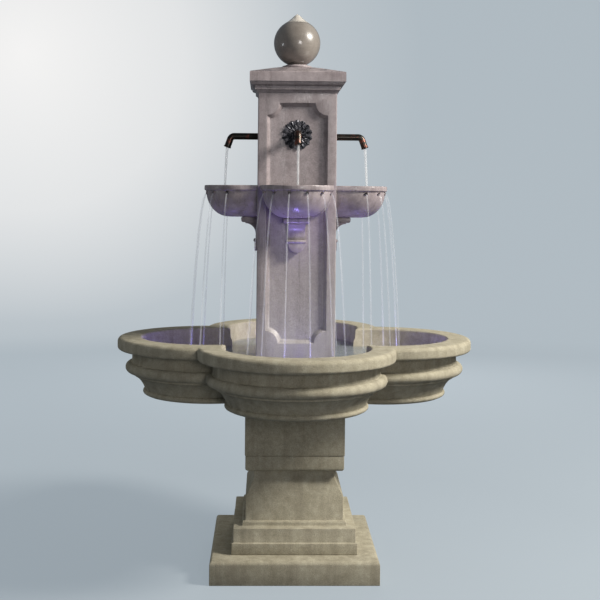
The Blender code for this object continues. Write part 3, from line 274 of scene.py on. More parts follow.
# Plinth, pedestal and riser block. Each is a hollow casting, square on plan, whose mouldings run round all
# four sides and meet in mitres. They stand dry on each other, and worn arrises catch the light.
def piece(name, bm, body, finish, *stands_for, slot=None, smooth=35.0):
    """Turns a bmesh into a finished piece that rides on a body and stands for CAD nodes."""
    bmesh.ops.remove_doubles(bm, verts=bm.verts, dist=0.00001)
    bmesh.ops.recalc_face_normals(bm, faces=bm.faces)
    mesh = bpy.data.meshes.new(name)
    bm.to_mesh(mesh)
    bm.free()
    mesh.materials.append(finish)
    mesh.shade_smooth()
    mesh.set_sharp_from_angle(angle=math.radians(smooth))
    made = add_object(name, mesh)
    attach(made, body)
    if stands_for:
        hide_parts(*stands_for)
    return made


def arc(centre, radius, start, end, steps):
    """Points on a round stretch of a profile, as (across, up), with its angles in degrees."""
    turns = [math.radians(start + (end - start) * step / steps) for step in range(steps + 1)]
    return [(centre[0] + radius * math.cos(turn), centre[1] + radius * math.sin(turn)) for turn in turns]


def moulded_square(profile):
    """A ring of four corners drawn through a closed profile of (half width, height)."""
    bm = bmesh.new()
    bmesh.ops.create_circle(bm, segments=4, radius=1.0)
    bmesh.ops.rotate(bm, verts=bm.verts, matrix=Matrix.Rotation(math.radians(45), 3, "Z"))
    ring = list(bm.edges)
    for vertex in bm.verts:
        vertex.co = (math.copysign(profile[0][0], vertex.co.x), math.copysign(profile[0][0], vertex.co.y),
                     profile[0][1])
    for half, level in [*profile[1:], profile[0]]:
        drawn = bmesh.ops.extrude_edge_only(bm, edges=ring)["geom"]
        ring = edges_in(drawn)
        for vertex in verts_in(drawn):
            vertex.co = (math.copysign(half, vertex.co.x), math.copysign(half, vertex.co.y), level)
    bmesh.ops.remove_doubles(bm, verts=bm.verts, dist=0.00001)
    return bm


arris = 0.0035
plinth_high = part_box("plinth")[1]
half, top = plinth_high[0], plinth_high[2]
bore, shoulder = 0.100, 0.014
bm = moulded_square([(bore, 0.0), (half, 0.0), *arc((half - shoulder, top - shoulder), shoulder, 0, 90, 6),
                     (bore, top)])
rounded(bm, 0.002, angle=40)
piece("plinth_casting", bm, "fountain", dry_stone, "plinth", slot="dry_stone")

pedestal_low, pedestal_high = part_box("pedestal")
band, tier, foot, die, neck, collar = 0.227, 0.221, 0.190, 0.178, 0.148, 0.180
low, top = pedestal_low[2], pedestal_high[2]
band_top, tier_top, foot_top, die_top, taper_top = 0.127, 0.179, 0.196, 0.283, 0.343
collar_low = top - 0.055
lip = 0.010
bm = moulded_square([(bore, low), (band, low), (band, band_top), (tier, band_top), (tier, tier_top),
                     (foot, tier_top), (foot, foot_top - 0.004), (foot - 0.004, foot_top), (die, foot_top),
                     (die, die_top), (neck, taper_top), (neck, collar_low),
                     *arc((collar - lip, collar_low + lip), lip, -90, 0, 4), (collar, top), (bore, top)])
rounded(bm, arris, angle=28)
piece("pedestal_casting", bm, "fountain", dry_stone, "pedestal", slot="dry_stone")

riser_low, riser_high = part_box("riser_block")
bm = moulded_square([(bore, riser_low[2]), (riser_high[0], riser_low[2]), (riser_high[0], riser_high[2]),
                     (bore, riser_high[2])])
rounded(bm, arris)
piece("riser_block_casting", bm, "fountain", dry_stone, "riser_block", slot="dry_stone")


# Basin. One casting of four equal round lobes: a bead and a hollow flare under a fat roll, a cove, and a thick
# flat rim. A lobe is turned, cut to its quarter of the plan, and set round the column four times.
basin_low, basin_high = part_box("basin")
lobe_offset = 0.317
rim_top, base, thickness = basin_high[2], basin_low[2], 0.045
rim_low, floor_level = rim_top - thickness, base + thickness
rim_radius = basin_high[0] - lobe_offset
roll_height, roll_section = base + 0.103, 0.019
lobe_profile = [(0.240, base), (0.2445, base + 0.002), *arc((0.2435, base + 0.012), 0.0095, -72, 84, 7),
                (0.2455, base + 0.0215), (0.2475, base + 0.026), (0.2515, base + 0.035), (0.2575, base + 0.046),
                (0.2655, base + 0.057), (0.2740, base + 0.0655), (0.2825, base + 0.0715),
                (0.2865, base + 0.0735),
                (0.2865, base + 0.079), (0.2905, base + 0.0825),
                *arc((0.300, roll_height), roll_section, -72, 96, 14),
                (0.2955, roll_height + 0.0225), (0.2945, roll_height + 0.030), (0.2945, rim_low - 0.016),
                (0.2965, rim_low - 0.009), (0.3015, rim_low - 0.0035), (0.309, rim_low - 0.0008),
                (rim_radius - 0.016, rim_low), *arc((rim_radius - 0.011, rim_low + 0.011), 0.011, -80, 0, 6),
                *arc((rim_radius - 0.016, rim_top - 0.016), 0.016, 0, 90, 9),
                *arc((0.2685, rim_top - 0.0085), 0.0085, 90, 180, 5), (0.2585, rim_low + 0.006),
                (0.2545, rim_low - 0.003), (0.2535, rim_low - 0.030), (0.248, floor_level + 0.045),
                (0.240, floor_level + 0.015), (0.229, floor_level)]
bm = bmesh.new()
chain = [bm.verts.new((radius, -lobe_offset, height)) for radius, height in lobe_profile]
chain += [bm.edges.new(pair) for pair in zip(chain, chain[1:])]
bmesh.ops.spin(bm, geom=chain, cent=(0, -lobe_offset, 0), axis=(0, 0, 1), angle=2 * math.pi, steps=120,
               use_merge=True)
for side in (1, -1):
    bmesh.ops.bisect_plane(bm, geom=[*bm.verts, *bm.edges, *bm.faces], dist=0.000001, plane_co=(0, 0, 0),
                           plane_no=(side, 1, 0), clear_outer=True)


def set_round_column(bm):
    """Three more copies of what is in the bmesh, a quarter turn apart."""
    first = [*bm.verts, *bm.edges, *bm.faces]
    for quarter in (1, 2, 3):
        copy = bmesh.ops.duplicate(bm, geom=first)["geom"]
        bmesh.ops.rotate(bm, verts=verts_in(copy), cent=(0, 0, 0),
                         matrix=Matrix.Rotation(quarter * math.pi / 2, 3, "Z"))
    bmesh.ops.remove_doubles(bm, verts=bm.verts, dist=0.00001)


set_round_column(bm)
bmesh.ops.holes_fill(bm, edges=[edge for edge in bm.edges if edge.is_boundary], sides=0)
piece("basin_casting", bm, "fountain", dry_stone, "basin", slot="dry_stone", smooth=50)


# Column. A square hollow shaft with a sunk panel on each face. The panels are rectangles with a quarter circle
# bitten out of each corner, and a sloping worn edge runs down to their sunk face. The rear panel has the
# intake window in it.
def line_between(bm, ends):
    """Edges along a list of corners, closed."""
    return [bm.edges.new(pair) for pair in zip(ends, [*ends[1:], ends[0]])]


def rectangle(bm, half, low, high, out):
    corners = ((-half, low), (half, low), (half, high), (-half, high))
    return line_between(bm, [bm.verts.new((across, -out, up)) for across, up in corners])


def notched(bm, half, low, high, bite_radius, inset, out):
    """A rectangle with bitten corners, moved in by inset."""
    bite = bite_radius + inset
    skip = math.asin(inset / bite)
    runs, edges = [], []
    for across, up, turn in ((half, low, 180), (half, high, 270), (-half, high, 0), (-half, low, 90)):
        start = math.radians(turn) - skip
        first = bm.verts.new((across + bite * math.cos(start), -out, up + bite * math.sin(start)))
        before = set(bm.edges)
        last = bmesh.ops.spin(bm, geom=[first], cent=(across, -out, up), axis=(0, 1, 0),
                              angle=math.pi / 2 - 2 * skip, steps=10)["geom_last"]
        edges += [edge for edge in bm.edges if edge not in before]
        runs.append((first, verts_in(last)[0]))
    for (first, last), (following, end) in zip(runs, [*runs[1:], runs[0]]):
        edges.append(bm.edges.new((last, following)))
    return edges


def ring_of(bm, radius, centre, sides):
    """A round loop of edges that faces the front."""
    made = bmesh.ops.create_circle(bm, segments=sides, radius=radius)["verts"]
    bmesh.ops.rotate(bm, verts=made, matrix=Matrix.Rotation(math.pi / 2, 3, "X"))
    bmesh.ops.translate(bm, verts=made, vec=centre)
    return list({edge for vertex in made for edge in vertex.link_edges})


def fill_between(bm, *loops):
    bmesh.ops.triangle_fill(bm, use_beauty=True, edges=[edge for loop in loops for edge in loop])


def join_loops(bm, first, second):
    bmesh.ops.bridge_loops(bm, edges=[*first, *second])


column_low, column_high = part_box("column")
face, cavity, sunk = column_high[0], 0.100, 0.015
foot, head = column_low[2], column_high[2]
panel_half, panel_low, panel_high, bite_radius = face - 0.032, foot + 0.1587, head - 0.0357, 0.046
spout_height, spout_hole = 1.601, 0.0128
window_half, window_low, window_high = 0.060, 0.691, 0.771
steps_in = ((0.0, 0.0), (0.0009, 0.0002), (0.0018, 0.0009), (0.0026, 0.0021), (0.0126, 0.0128),
            (0.0138, 0.0140), (0.0156, 0.0148), (0.0180, sunk))
bm = bmesh.new()
for quarter in range(4):
    before = set(bm.verts)
    panel_loops = [notched(bm, panel_half, panel_low, panel_high, bite_radius, inset, face - depth)
                   for inset, depth in steps_in]
    for outer, inner in zip(panel_loops, panel_loops[1:]):
        join_loops(bm, outer, inner)
    bore_out = ring_of(bm, spout_hole, (0, sunk - face, spout_height), 24)
    bore_in = ring_of(bm, spout_hole, (0, -cavity, spout_height), 24)
    fill_between(bm, panel_loops[-1], bore_out)
    join_loops(bm, bore_out, bore_in)
    windows_out, windows_in = [], []
    if quarter == 2:
        windows_out = rectangle(bm, window_half, window_low, window_high, face)
        windows_in = rectangle(bm, window_half, window_low, window_high, cavity)
        join_loops(bm, windows_out, windows_in)
    fill_between(bm, rectangle(bm, face - arris, foot, head, face), panel_loops[0], windows_out)
    fill_between(bm, rectangle(bm, cavity, foot, head, cavity), bore_in, windows_in)
    upright = [bm.verts.new((face - arris, -face, level)) for level in (foot, head)]
    bmesh.ops.spin(bm, geom=[*upright, bm.edges.new(upright)], cent=(face - arris, arris - face, 0),
                   axis=(0, 0, 1), angle=math.pi / 2, steps=4)
    fresh = [vertex for vertex in bm.verts if vertex not in before]
    bmesh.ops.rotate(bm, verts=fresh, cent=(0, 0, 0), matrix=Matrix.Rotation(quarter * math.pi / 2, 3, "Z"))
bmesh.ops.remove_doubles(bm, verts=bm.verts, dist=0.00002)
for level in (foot, head):
    fill_between(bm, [edge for edge in bm.edges
                      if edge.is_boundary and all(abs(vertex.co.z - level) < 0.00001 for vertex in edge.verts)])
piece("column_casting", bm, "fountain", wet_stone, "column", slot="wet_stone", smooth=40)


# Cap. A low pyramid over a thick slab, with a cove, a fillet and a quarter round stepping out under it. It
# lifts off the column, and water from the ball keeps it wet.
cap_low, cap_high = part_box("cap")
low, shoulder, top, half, bore = cap_low[2], 1.792, cap_high[2], cap_high[0], 0.012
fillet, ovolo, drip, cap_slope = 0.156, 0.170, 0.003, 0.058
bm = moulded_square([(bore, low), (face - 0.0005, low),
                     *[(fillet - across, low + 0.011 - up) for across, up in
                       ((0.0095, 0.0105), (0.0085, 0.0072), (0.0060, 0.0036), (0.0025, 0.0010))],
                     (fillet, low + 0.011), (fillet, low + 0.023), (fillet + 0.0015, low + 0.0245),
                     *arc((fillet + 0.004, shoulder - 0.001), 0.0105, -78, -6, 5),
                     (ovolo + 0.0005, shoulder), (half - drip, shoulder), (half, shoulder + drip),
                     (half, shoulder + 0.035), (half - 0.0012, shoulder + 0.0375),
                     (half - 0.004, shoulder + 0.0392), (cap_slope + 0.030, top - 0.0065), (cap_slope, top),
                     (bore, top)])
piece("cap_casting", bm, "cap", wet_stone, "cap", slot="wet_stone", smooth=30)


# Finial seat and ball. The seat is a turned ring of the same wet stone. The ball is ground smooth, and with
# the film of water that wells out at its top it shines. Both have the pipe's bore down the middle.
def turned(profile, steps, axis=(0.0, 0.0)):
    """A closed profile of (radius, height) spun right round an upright axis."""
    bm = bmesh.new()
    line = [bm.verts.new((axis[0] + radius, axis[1], height)) for radius, height in profile]
    edges = line_between(bm, line)
    bmesh.ops.spin(bm, geom=[*line, *edges], cent=(*axis, 0), axis=(0, 0, 1), angle=2 * math.pi, steps=steps,
                   use_merge=True)
    return bm


seat_low, seat_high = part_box("finial_seat")
seat, low, top, edge = seat_high[0], seat_low[2], seat_high[2], 0.0045
bm = turned([(bore, low), (seat - 0.001, low), *arc((seat - edge, low + edge), edge, -60, 90, 8),
             (seat - 0.010, low + edge * 2), (seat - 0.013, top - 0.0015), (seat - 0.015, top),
             (bore, top)], 72)
piece("finial_seat_casting", bm, "finial", wet_stone, "finial_seat", slot="wet_stone")

ball_radius, ball_centre = 0.088, 1.9558
ball_foot = math.degrees(math.asin((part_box("finial_ball")[0][2] - ball_centre) / ball_radius))
ball_head = math.degrees(math.acos(bore / ball_radius))
outline = arc((0.0, ball_centre), ball_radius, ball_foot, ball_head, 48)
bm = turned([(bore, outline[0][1]), *outline], 96)
polished_stone, shader, place = new_finish("polished_wet_stone", Coat_Weight=0.85, Coat_Roughness=0.05)
cloud = place.noise(9.0, 5.0, 0.6)
grain = place.noise(320.0, 2.0)
tone = (cloud * 0.7 + grain * 0.3).ramp((0.38, 0.0), (0.62, 1.0))
feed(shader, Base_Color=tone.blend((0.150, 0.130, 0.112, 1), (0.255, 0.228, 0.200, 1)),
     Roughness=0.22 + grain * 0.16, Normal=relief(cloud * 1.5 + grain * 0.2, 0.0012, 0.5))
piece("finial_ball_stone", bm, "finial", polished_stone, "finial_ball", slot="polished_stone")


# Bowls. Each is half round with a short straight run back to the column, under a flat rim with a rounded edge,
# and drains through six holes below the rim. The back wall has a tongue that fills the panel behind it.
front_to_left = ("front", "right", "rear", "left")


def bowl_shell(profile, back, steps):
    """Half a turn of an open profile towards the front, then straight back, with the back closed."""
    bm = bmesh.new()
    line = [bm.verts.new((radius, 0.0, height)) for radius, height in profile]
    edges = [bm.edges.new(pair) for pair in zip(line, line[1:])]
    bmesh.ops.spin(bm, geom=[*line, *edges], cent=(0, 0, 0), axis=(0, 0, 1), angle=-math.pi, steps=steps)
    bmesh.ops.remove_doubles(bm, verts=bm.verts, dist=0.00001)
    drawn = bmesh.ops.extrude_edge_only(bm, edges=[edge for edge in bm.edges if edge.is_boundary])["geom"]
    for vertex in verts_in(drawn):
        vertex.co.y = back
    return bm


def facing_out(bm, quarter):
    """Everything in the bmesh, turned from the front to another side of the column."""
    bmesh.ops.rotate(bm, verts=bm.verts, cent=(0, 0, 0), matrix=Matrix.Rotation(quarter * math.pi / 2, 3, "Z"))


def tube_along(bm, path, radii, sides):
    """A ring drawn along a path of points, with the ring's radius at each, and both ends closed."""
    first = (Vector(path[1]) - Vector(path[0])).normalized()
    made = bmesh.ops.create_circle(bm, segments=sides, radius=radii[0])["verts"]
    bmesh.ops.rotate(bm, verts=made, matrix=first.to_track_quat("Z", "Y").to_matrix())
    bmesh.ops.translate(bm, verts=made, vec=path[0])
    ring = list({edge for vertex in made for edge in vertex.link_edges})
    ends = [ring]
    heading = first
    for index in range(1, len(path)):
        here, there = Vector(path[index - 1]), Vector(path[index])
        following = (Vector(path[min(index + 1, len(path) - 1)]) - here).normalized()
        drawn = bmesh.ops.extrude_edge_only(bm, edges=ring)["geom"]
        ring, fresh = edges_in(drawn), verts_in(drawn)
        bmesh.ops.translate(bm, verts=fresh, vec=there - here)
        bmesh.ops.rotate(bm, verts=fresh, cent=there, matrix=heading.rotation_difference(following).to_matrix())
        grown = radii[index] / radii[index - 1]
        bmesh.ops.scale(bm, verts=fresh, vec=(grown, grown, grown), space=Matrix.Translation(-there))
        heading = following
    for end in (*ends, ring):
        bmesh.ops.edgeloop_fill(bm, edges=end)


bowl_low, bowl_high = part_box("bowl_front")
bowl_axis, bowl_foot, rim_reach, body_reach, wall = 0.213, 0.040, 0.133, 0.126, 0.014
rise, rim_level, weir_level = bowl_high[2] - bowl_low[2], 0.098, 0.090
back = bowl_axis - column_high[0] - 0.0003
tongue_middle, tongue_width, tongue_height = 0.0575, 0.190, 0.081
weir_angles, weir_radius = (-70, -42, -14, 14, 42, 70), 0.006


def weir_outward(angle):
    """The level direction in which the front bowl's weir hole at an angle faces."""
    return Vector((math.sin(math.radians(angle)), -math.cos(math.radians(angle)), 0.0))


def side_radius(level, floor_at, height, reach):
    """The radius of a bowl's curved side at a level."""
    return bowl_foot + reach * math.sin(math.acos(1 - (level - floor_at) / height))


levels = (0.0, 0.002, 0.006, 0.012, 0.020, 0.029, 0.040, 0.052, 0.064, 0.0745, 0.082, weir_level, 0.0975)
outer_side = [(side_radius(level, 0.0, rim_level, body_reach - bowl_foot), level) for level in levels]
inner_levels = (0.1135, 0.098, weir_level, 0.082, 0.072, 0.058, 0.044, 0.032, 0.023, 0.017, wall)
inner_side = [(side_radius(level, wall, rise - wall, body_reach - bowl_foot - wall), level)
              for level in inner_levels]
edge = 0.0045
rim_line = [(rim_reach - edge * 0.9, rim_level), *arc((rim_reach - edge, rim_level + edge), edge, -60, 0, 3),
            *arc((rim_reach - edge, rise - edge), edge, 0, 90, 5), (0.1158, rise), (0.1135, rise - 0.0006),
            (0.1122, rise - 0.002)]
outside_chain = [(0.0, 0.0), *outer_side, *rim_line]
for quarter, side in enumerate(front_to_left):
    bm = bowl_shell([*outside_chain, *inner_side, (0.0, wall)], back - wall, 45)
    end_edges = [edge for edge in bm.edges if edge.is_boundary]
    cups = [edge for edge in end_edges
            if all(vertex.co.z > wall - 0.0001 and abs(vertex.co.x) < 0.11221 and vertex.co.z < rise
                   and abs(vertex.co.x) < side_radius(min(vertex.co.z, rim_level), 0.0, rim_level,
                                                      body_reach - bowl_foot) - 0.004
                   for vertex in edge.verts)]
    rest = [edge for edge in end_edges if edge not in cups]
    drawn = bmesh.ops.extrude_edge_only(bm, edges=rest)["geom"]
    for vertex in verts_in(drawn):
        vertex.co.y = back
    lip_in = sorted({vertex for edge in cups for vertex in edge.verts if vertex.co.z > rise - 0.0021},
                    key=lambda vertex: vertex.co.x)
    lip_out = sorted([vertex for vertex in verts_in(drawn) if abs(abs(vertex.co.x) - 0.1122) < 0.00001
                      and vertex.co.z > rise - 0.0021], key=lambda vertex: vertex.co.x)
    across_in, across_out = bm.edges.new(lip_in), bm.edges.new(lip_out)
    bmesh.ops.contextual_create(bm, geom=[*cups, across_in])
    bmesh.ops.contextual_create(bm, geom=[*edges_in(drawn), across_out])
    sides = [bm.edges.get(pair) for pair in zip(lip_in, lip_out)]
    bmesh.ops.contextual_create(bm, geom=[across_in, across_out, *sides])
    for angle in weir_angles:
        outward = weir_outward(angle)
        loops = []
        for skin in (side_radius(weir_level, 0.0, rim_level, body_reach - bowl_foot),
                     side_radius(weir_level, wall, rise - wall, body_reach - bowl_foot - wall)):
            target = outward * skin + Vector((0, 0, weir_level))
            middle = min(bm.verts, key=lambda vertex: (vertex.co - target).length)
            loop = {edge for around in middle.link_faces for edge in around.edges if middle not in edge.verts}
            for vertex in {vertex for edge in loop for vertex in edge.verts}:
                reach = vertex.co - middle.co
                depth = reach.dot(outward)
                flat = reach - outward * depth
                vertex.co = middle.co + outward * depth + flat.normalized() * weir_radius
            bmesh.ops.delete(bm, geom=[middle], context="VERTS")
            loops.append(list(loop))
        lipped = bmesh.ops.extrude_edge_only(bm, edges=loops[0])["geom"]
        bmesh.ops.translate(bm, verts=verts_in(lipped), vec=outward * 0.0035 - Vector((0, 0, 0.0008)))
        join_loops(bm, edges_in(lipped), loops[1])
    bmesh.ops.create_cube(bm, size=1.0, matrix=Matrix.LocRotScale(
        (0, back + sunk / 2 - 0.0005, tongue_middle), None, (tongue_width, sunk - 0.0005, tongue_height)))
    bmesh.ops.translate(bm, verts=bm.verts, vec=(0, -bowl_axis, bowl_low[2]))
    facing_out(bm, quarter)
    piece(f"bowl_casting_{side}", bm, "fountain", wet_stone, f"bowl_{side}", slot="wet_stone", smooth=35)


# Corbels. A bracket under each bowl: a block above, a cove running down to the panel, a small roll, and a
# rounded drop below it. They are cast in the same mix and bedded into the panel.
corbel_foot, corbel_top = (corner[2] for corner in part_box("corbel_front"))
reach_top, reach_body, block, half_block, half_body = 0.061, 0.045, 0.020, 0.048, 0.032
shoulder, hold = corbel_top - block, column_high[0] - sunk + 0.0003
cove = reach_body - 0.006
nose_level = shoulder - cove - 0.024
for quarter, side in enumerate(front_to_left):
    bm = bmesh.new()
    nose = face + reach_top
    outline = [(hold, corbel_top), (nose - 0.004, corbel_top), (nose, corbel_top - 0.004),
               *arc((nose - 0.009, shoulder + 0.008), 0.008, 0, -80, 4), (nose - 0.012, shoulder),
               (hold, shoulder)]
    parts = [(outline, half_block)]
    outline = [(hold, shoulder + 0.001), (face + reach_body, shoulder + 0.001),
               *arc((face + reach_body, shoulder - 0.004 - cove), cove, 90, 180, 9), (face + 0.006, nose_level),
               (hold, nose_level)]
    parts.append((outline, half_body))
    outline = [(hold, nose_level + 0.001), *arc((face + 0.008, nose_level - 0.005), 0.006, 90, -90, 8),
               (hold, nose_level - 0.011)]
    parts.append((outline, half_body + 0.0025))
    for outline, half in parts:
        loop = [bm.verts.new((-half, -out, up)) for out, up in outline]
        slab = bmesh.ops.extrude_face_region(bm, geom=[bm.faces.new(loop)])["geom"]
        bmesh.ops.translate(bm, verts=verts_in(slab), vec=(half * 2, 0, 0))
    drop_top, drop_half = nose_level - 0.010, half_body - 0.001
    drop_depth = drop_top - corbel_foot
    loop = [bm.verts.new((drop_half * math.cos(turn), -hold, drop_top - drop_depth * math.sin(turn)))
            for turn in (math.pi * step / 16 for step in range(17))]
    slab = bmesh.ops.extrude_face_region(bm, geom=[bm.faces.new(loop)])["geom"]
    bmesh.ops.translate(bm, verts=verts_in(slab), vec=(0, hold - face - 0.010, 0))
    bmesh.ops.recalc_face_normals(bm, faces=bm.faces)
    rounded(bm, 0.0010, segments=2, angle=50)
    facing_out(bm, quarter)
    piece(f"corbel_casting_{side}", bm, "fountain", wet_stone, f"corbel_{side}", slot="wet_stone", smooth=35)


# Spouts and rosettes. A bent bronze pipe comes out through the middle of a cast rosette on each panel. The
# rosette has two rows of domed petals round a collar. Both are dark; the pipe shows bare copper where it is
# rubbed, and the rosette pale blue-grey.
def bronze_finish(name, dark, bare):
    made, shader, place = new_finish(name, Metallic=0.9)
    cloud = place.noise(48.0, 5.0, 0.6)
    fine = place.noise(300.0, 2.0)
    worn = (cloud * 0.75 + fine * 0.25).ramp((0.50, 0.0), (0.68, 1.0))
    feed(shader, Base_Color=worn.blend(dark, bare), Roughness=0.22 + cloud * 0.26,
         Normal=relief(cloud + fine * 0.3, 0.0008, 0.5))
    return made


bronze = bronze_finish("rubbed_bronze", (0.042, 0.038, 0.032, 1), (0.235, 0.078, 0.055, 1))
black_bronze = bronze_finish("blackened_bronze", (0.030, 0.031, 0.036, 1), (0.175, 0.170, 0.185, 1))
pipe_radius, pipe_bore = 0.0125, 0.0098
bend_start, bend, lean, leg = 0.235, 0.016, 20.0, 0.034
pipe_start = -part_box("spout_front")[1][1]
turn = math.radians(90 - lean)
leaning = Vector((0, -math.sin(math.radians(lean)), -math.cos(math.radians(lean))))


def pipe_skin(bm, radius, sides, reach):
    """One skin of the spout, from inside the column round the bend to the outlet, and its two end loops."""
    ring = ring_of(bm, radius, (0, -pipe_start, spout_height), sides)
    first = list(ring)
    drawn = bmesh.ops.extrude_edge_only(bm, edges=ring)["geom"]
    bmesh.ops.translate(bm, verts=verts_in(drawn), vec=(0, pipe_start - bend_start, 0))
    drawn = bmesh.ops.spin(bm, geom=[*verts_in(drawn), *edges_in(drawn)], steps=10, axis=(1, 0, 0), angle=turn,
                           cent=(0, -bend_start, spout_height - bend))["geom_last"]
    ring = edges_in(drawn)
    drawn = bmesh.ops.extrude_edge_only(bm, edges=ring)["geom"]
    bmesh.ops.translate(bm, verts=verts_in(drawn), vec=leaning * reach)
    return first, edges_in(drawn)


def scalloped(bm, radius, dip, lobes, per_lobe, out):
    """A disc with a lobed edge that faces the front, at a distance out from the axis."""
    made = bmesh.ops.create_circle(bm, cap_ends=True, segments=lobes * per_lobe, radius=radius)["verts"]
    for vertex in made:
        round_by = math.atan2(vertex.co.y, vertex.co.x)
        vertex.co *= 1 - dip / radius * (1 - abs(math.sin(round_by * lobes / 2)))
    bmesh.ops.rotate(bm, verts=made, matrix=Matrix.Rotation(math.pi / 2, 3, "X"))
    bmesh.ops.translate(bm, verts=made, vec=(0, -out, spout_height))
    return made


def petal(bm, angle, from_axis, length, width, thickness, out):
    """A domed leaf, wider at its outer end, that lies on the disc and points away from the spout."""
    made = bmesh.ops.create_uvsphere(bm, u_segments=12, v_segments=8, radius=0.5)["verts"]
    for vertex in made:
        along = vertex.co.x + 0.5
        vertex.co.y *= width * (0.45 + 0.65 * along)
        vertex.co.z = vertex.co.z * thickness * 2 - abs(vertex.co.y) * 0.10 + along * thickness * 0.25
        vertex.co.x = from_axis + along * length
    bmesh.ops.rotate(bm, verts=made, matrix=Matrix.Rotation(angle, 3, "Z"))
    bmesh.ops.rotate(bm, verts=made, matrix=Matrix.Rotation(math.pi / 2, 3, "X"))
    bmesh.ops.translate(bm, verts=made, vec=(0, -out, spout_height))


rosette_radius, petals, plate_face = 0.057, 14, face - sunk + 0.0003
for quarter, side in enumerate(front_to_left):
    bm = bmesh.new()
    loops = [pipe_skin(bm, pipe_radius, 28, leg - 0.006), pipe_skin(bm, pipe_bore, 28, leg)]
    join_loops(bm, loops[0][0], loops[1][0])
    ring, grown = loops[0][1], 1.0
    for step, swell in ((0.0006, 1.07), (0.0012, 1.11), (0.0024, 1.11), (0.0012, 1.06), (0.0006, 0.97)):
        drawn = bmesh.ops.extrude_edge_only(bm, edges=ring)["geom"]
        ring, fresh = edges_in(drawn), verts_in(drawn)
        middle = sum((vertex.co for vertex in fresh), Vector()) / len(fresh)
        factor = swell / grown
        bmesh.ops.scale(bm, verts=fresh, vec=(factor,) * 3, space=Matrix.Translation(-middle))
        bmesh.ops.translate(bm, verts=fresh, vec=leaning * step)
        grown = swell
    join_loops(bm, ring, loops[1][1])
    facing_out(bm, quarter)
    piece(f"spout_pipe_{side}", bm, "fountain", bronze, f"spout_{side}", slot="dark_bronze", smooth=50)

    bm = bmesh.new()
    scalloped(bm, rosette_radius - 0.001, 0.006, petals, 6, plate_face)
    slab = bmesh.ops.extrude_face_region(bm, geom=list(bm.faces))["geom"]
    bmesh.ops.translate(bm, verts=verts_in(slab), vec=(0, -0.0028, 0))
    for index in range(petals):
        angle = 2 * math.pi * (index + 0.5) / petals
        petal(bm, angle, 0.029, 0.0275, 0.0112, 0.0033, plate_face + 0.0036)
        petal(bm, angle + math.pi / petals, 0.0175, 0.0195, 0.0072, 0.0028, plate_face + 0.0056)
    collar = [(0.0131, 0.002), (0.0131, 0.0115), (0.0142, 0.0128), (0.0162, 0.0130), (0.0178, 0.0118),
              (0.0182, 0.0100), (0.0196, 0.0088), (0.0208, 0.0066), (0.0204, 0.002)]
    line = [bm.verts.new((radius, -plate_face - out, spout_height)) for radius, out in collar]
    bmesh.ops.spin(bm, geom=[*line, *line_between(bm, line)], cent=(0, 0, spout_height), axis=(0, 1, 0),
                   angle=2 * math.pi, steps=40, use_merge=True)
    facing_out(bm, quarter)
    piece(f"rosette_plate_{side}", bm, "fountain", black_bronze, f"rosette_{side}", slot="dark_bronze",
          smooth=50)


# Water. A bubble stands over the ball, a jet falls from each spout, threads fall from the weir holes, and the
# basin and the bowls hold still water with rings where they land. It is clear, so a thin white body shows it.
def water_finish(name, colour, alpha, rough):
    made, shader, place = new_finish(name, Alpha=alpha, Roughness=rough, Specular_IOR_Level=0.9)
    streak = place.stretched((60.0, 60.0, 14.0)).noise(1.0, 3.0)
    pale = tuple(min(1.0, shade * 1.25) for shade in colour[:3]) + (1.0,)
    feed(shader, Base_Color=streak.ramp((0.35, 0.0), (0.65, 1.0)).blend(colour, pale),
         Normal=relief(streak, 0.002, 0.35))
    return made


falling = water_finish("falling_water", (0.80, 0.82, 0.85, 1), 0.30, 0.10)
thread_water = water_finish("thread_water", (0.74, 0.76, 0.80, 1), 0.14, 0.22)
welling = water_finish("welling_water", (0.62, 0.58, 0.52, 1), 0.62, 0.12)
standing = water_finish("standing_water", (0.30, 0.34, 0.35, 1), 0.55, 0.04)
water_level, bowl_water, gravity = 0.775, 1.386, 9.81
weir_speed, weir_fall_time = 0.17, 0.352


def fall(start, speed, outward, low, steps):
    """The path of water that leaves start at a speed, drawn by its weight, down to a level."""
    start = Vector(start)
    down = -speed[1]
    time = (-down + math.sqrt(down * down + 2 * gravity * (start.z - low))) / gravity
    points = []
    for step in range(steps + 1):
        now = time * (step / steps)
        sunk_by = down * now + gravity * now * now / 2
        points.append(start + Vector(outward) * speed[0] * now - Vector((0, 0, sunk_by)))
    return points


mouth = Vector((0, -(bend_start + bend * math.sin(turn) + leg * math.sin(math.radians(lean))),
                spout_height - bend + bend * math.cos(turn) - leg * math.cos(math.radians(lean))))
for quarter, side in enumerate(front_to_left):
    bm = bmesh.new()
    path = fall(mouth + Vector((0, 0.002, 0.006)), (0.06, -0.25), (0, -1, 0), bowl_water - 0.002, 14)
    tube_along(bm, path, [0.0062 - 0.0022 * (step / 14) ** 0.5 for step in range(15)], 12)
    facing_out(bm, quarter)
    piece(f"spout_jet_{side}", bm, "fountain", falling)

    bm = bmesh.new()
    for angle in weir_angles:
        outward = weir_outward(angle)
        start = outward * (body_reach + 0.0015) + Vector((0, -bowl_axis, bowl_low[2] + weir_level - 0.003))
        path = fall(start, (weir_speed, 0.0), outward, water_level - 0.002, 22)
        wobble = [0.0026 + 0.0004 * step / 22 + 0.0004 * math.sin(step * 1.7 + angle) for step in range(23)]
        tube_along(bm, path, wobble, 8)
    facing_out(bm, quarter)
    piece(f"weir_threads_{side}", bm, "fountain", thread_water)

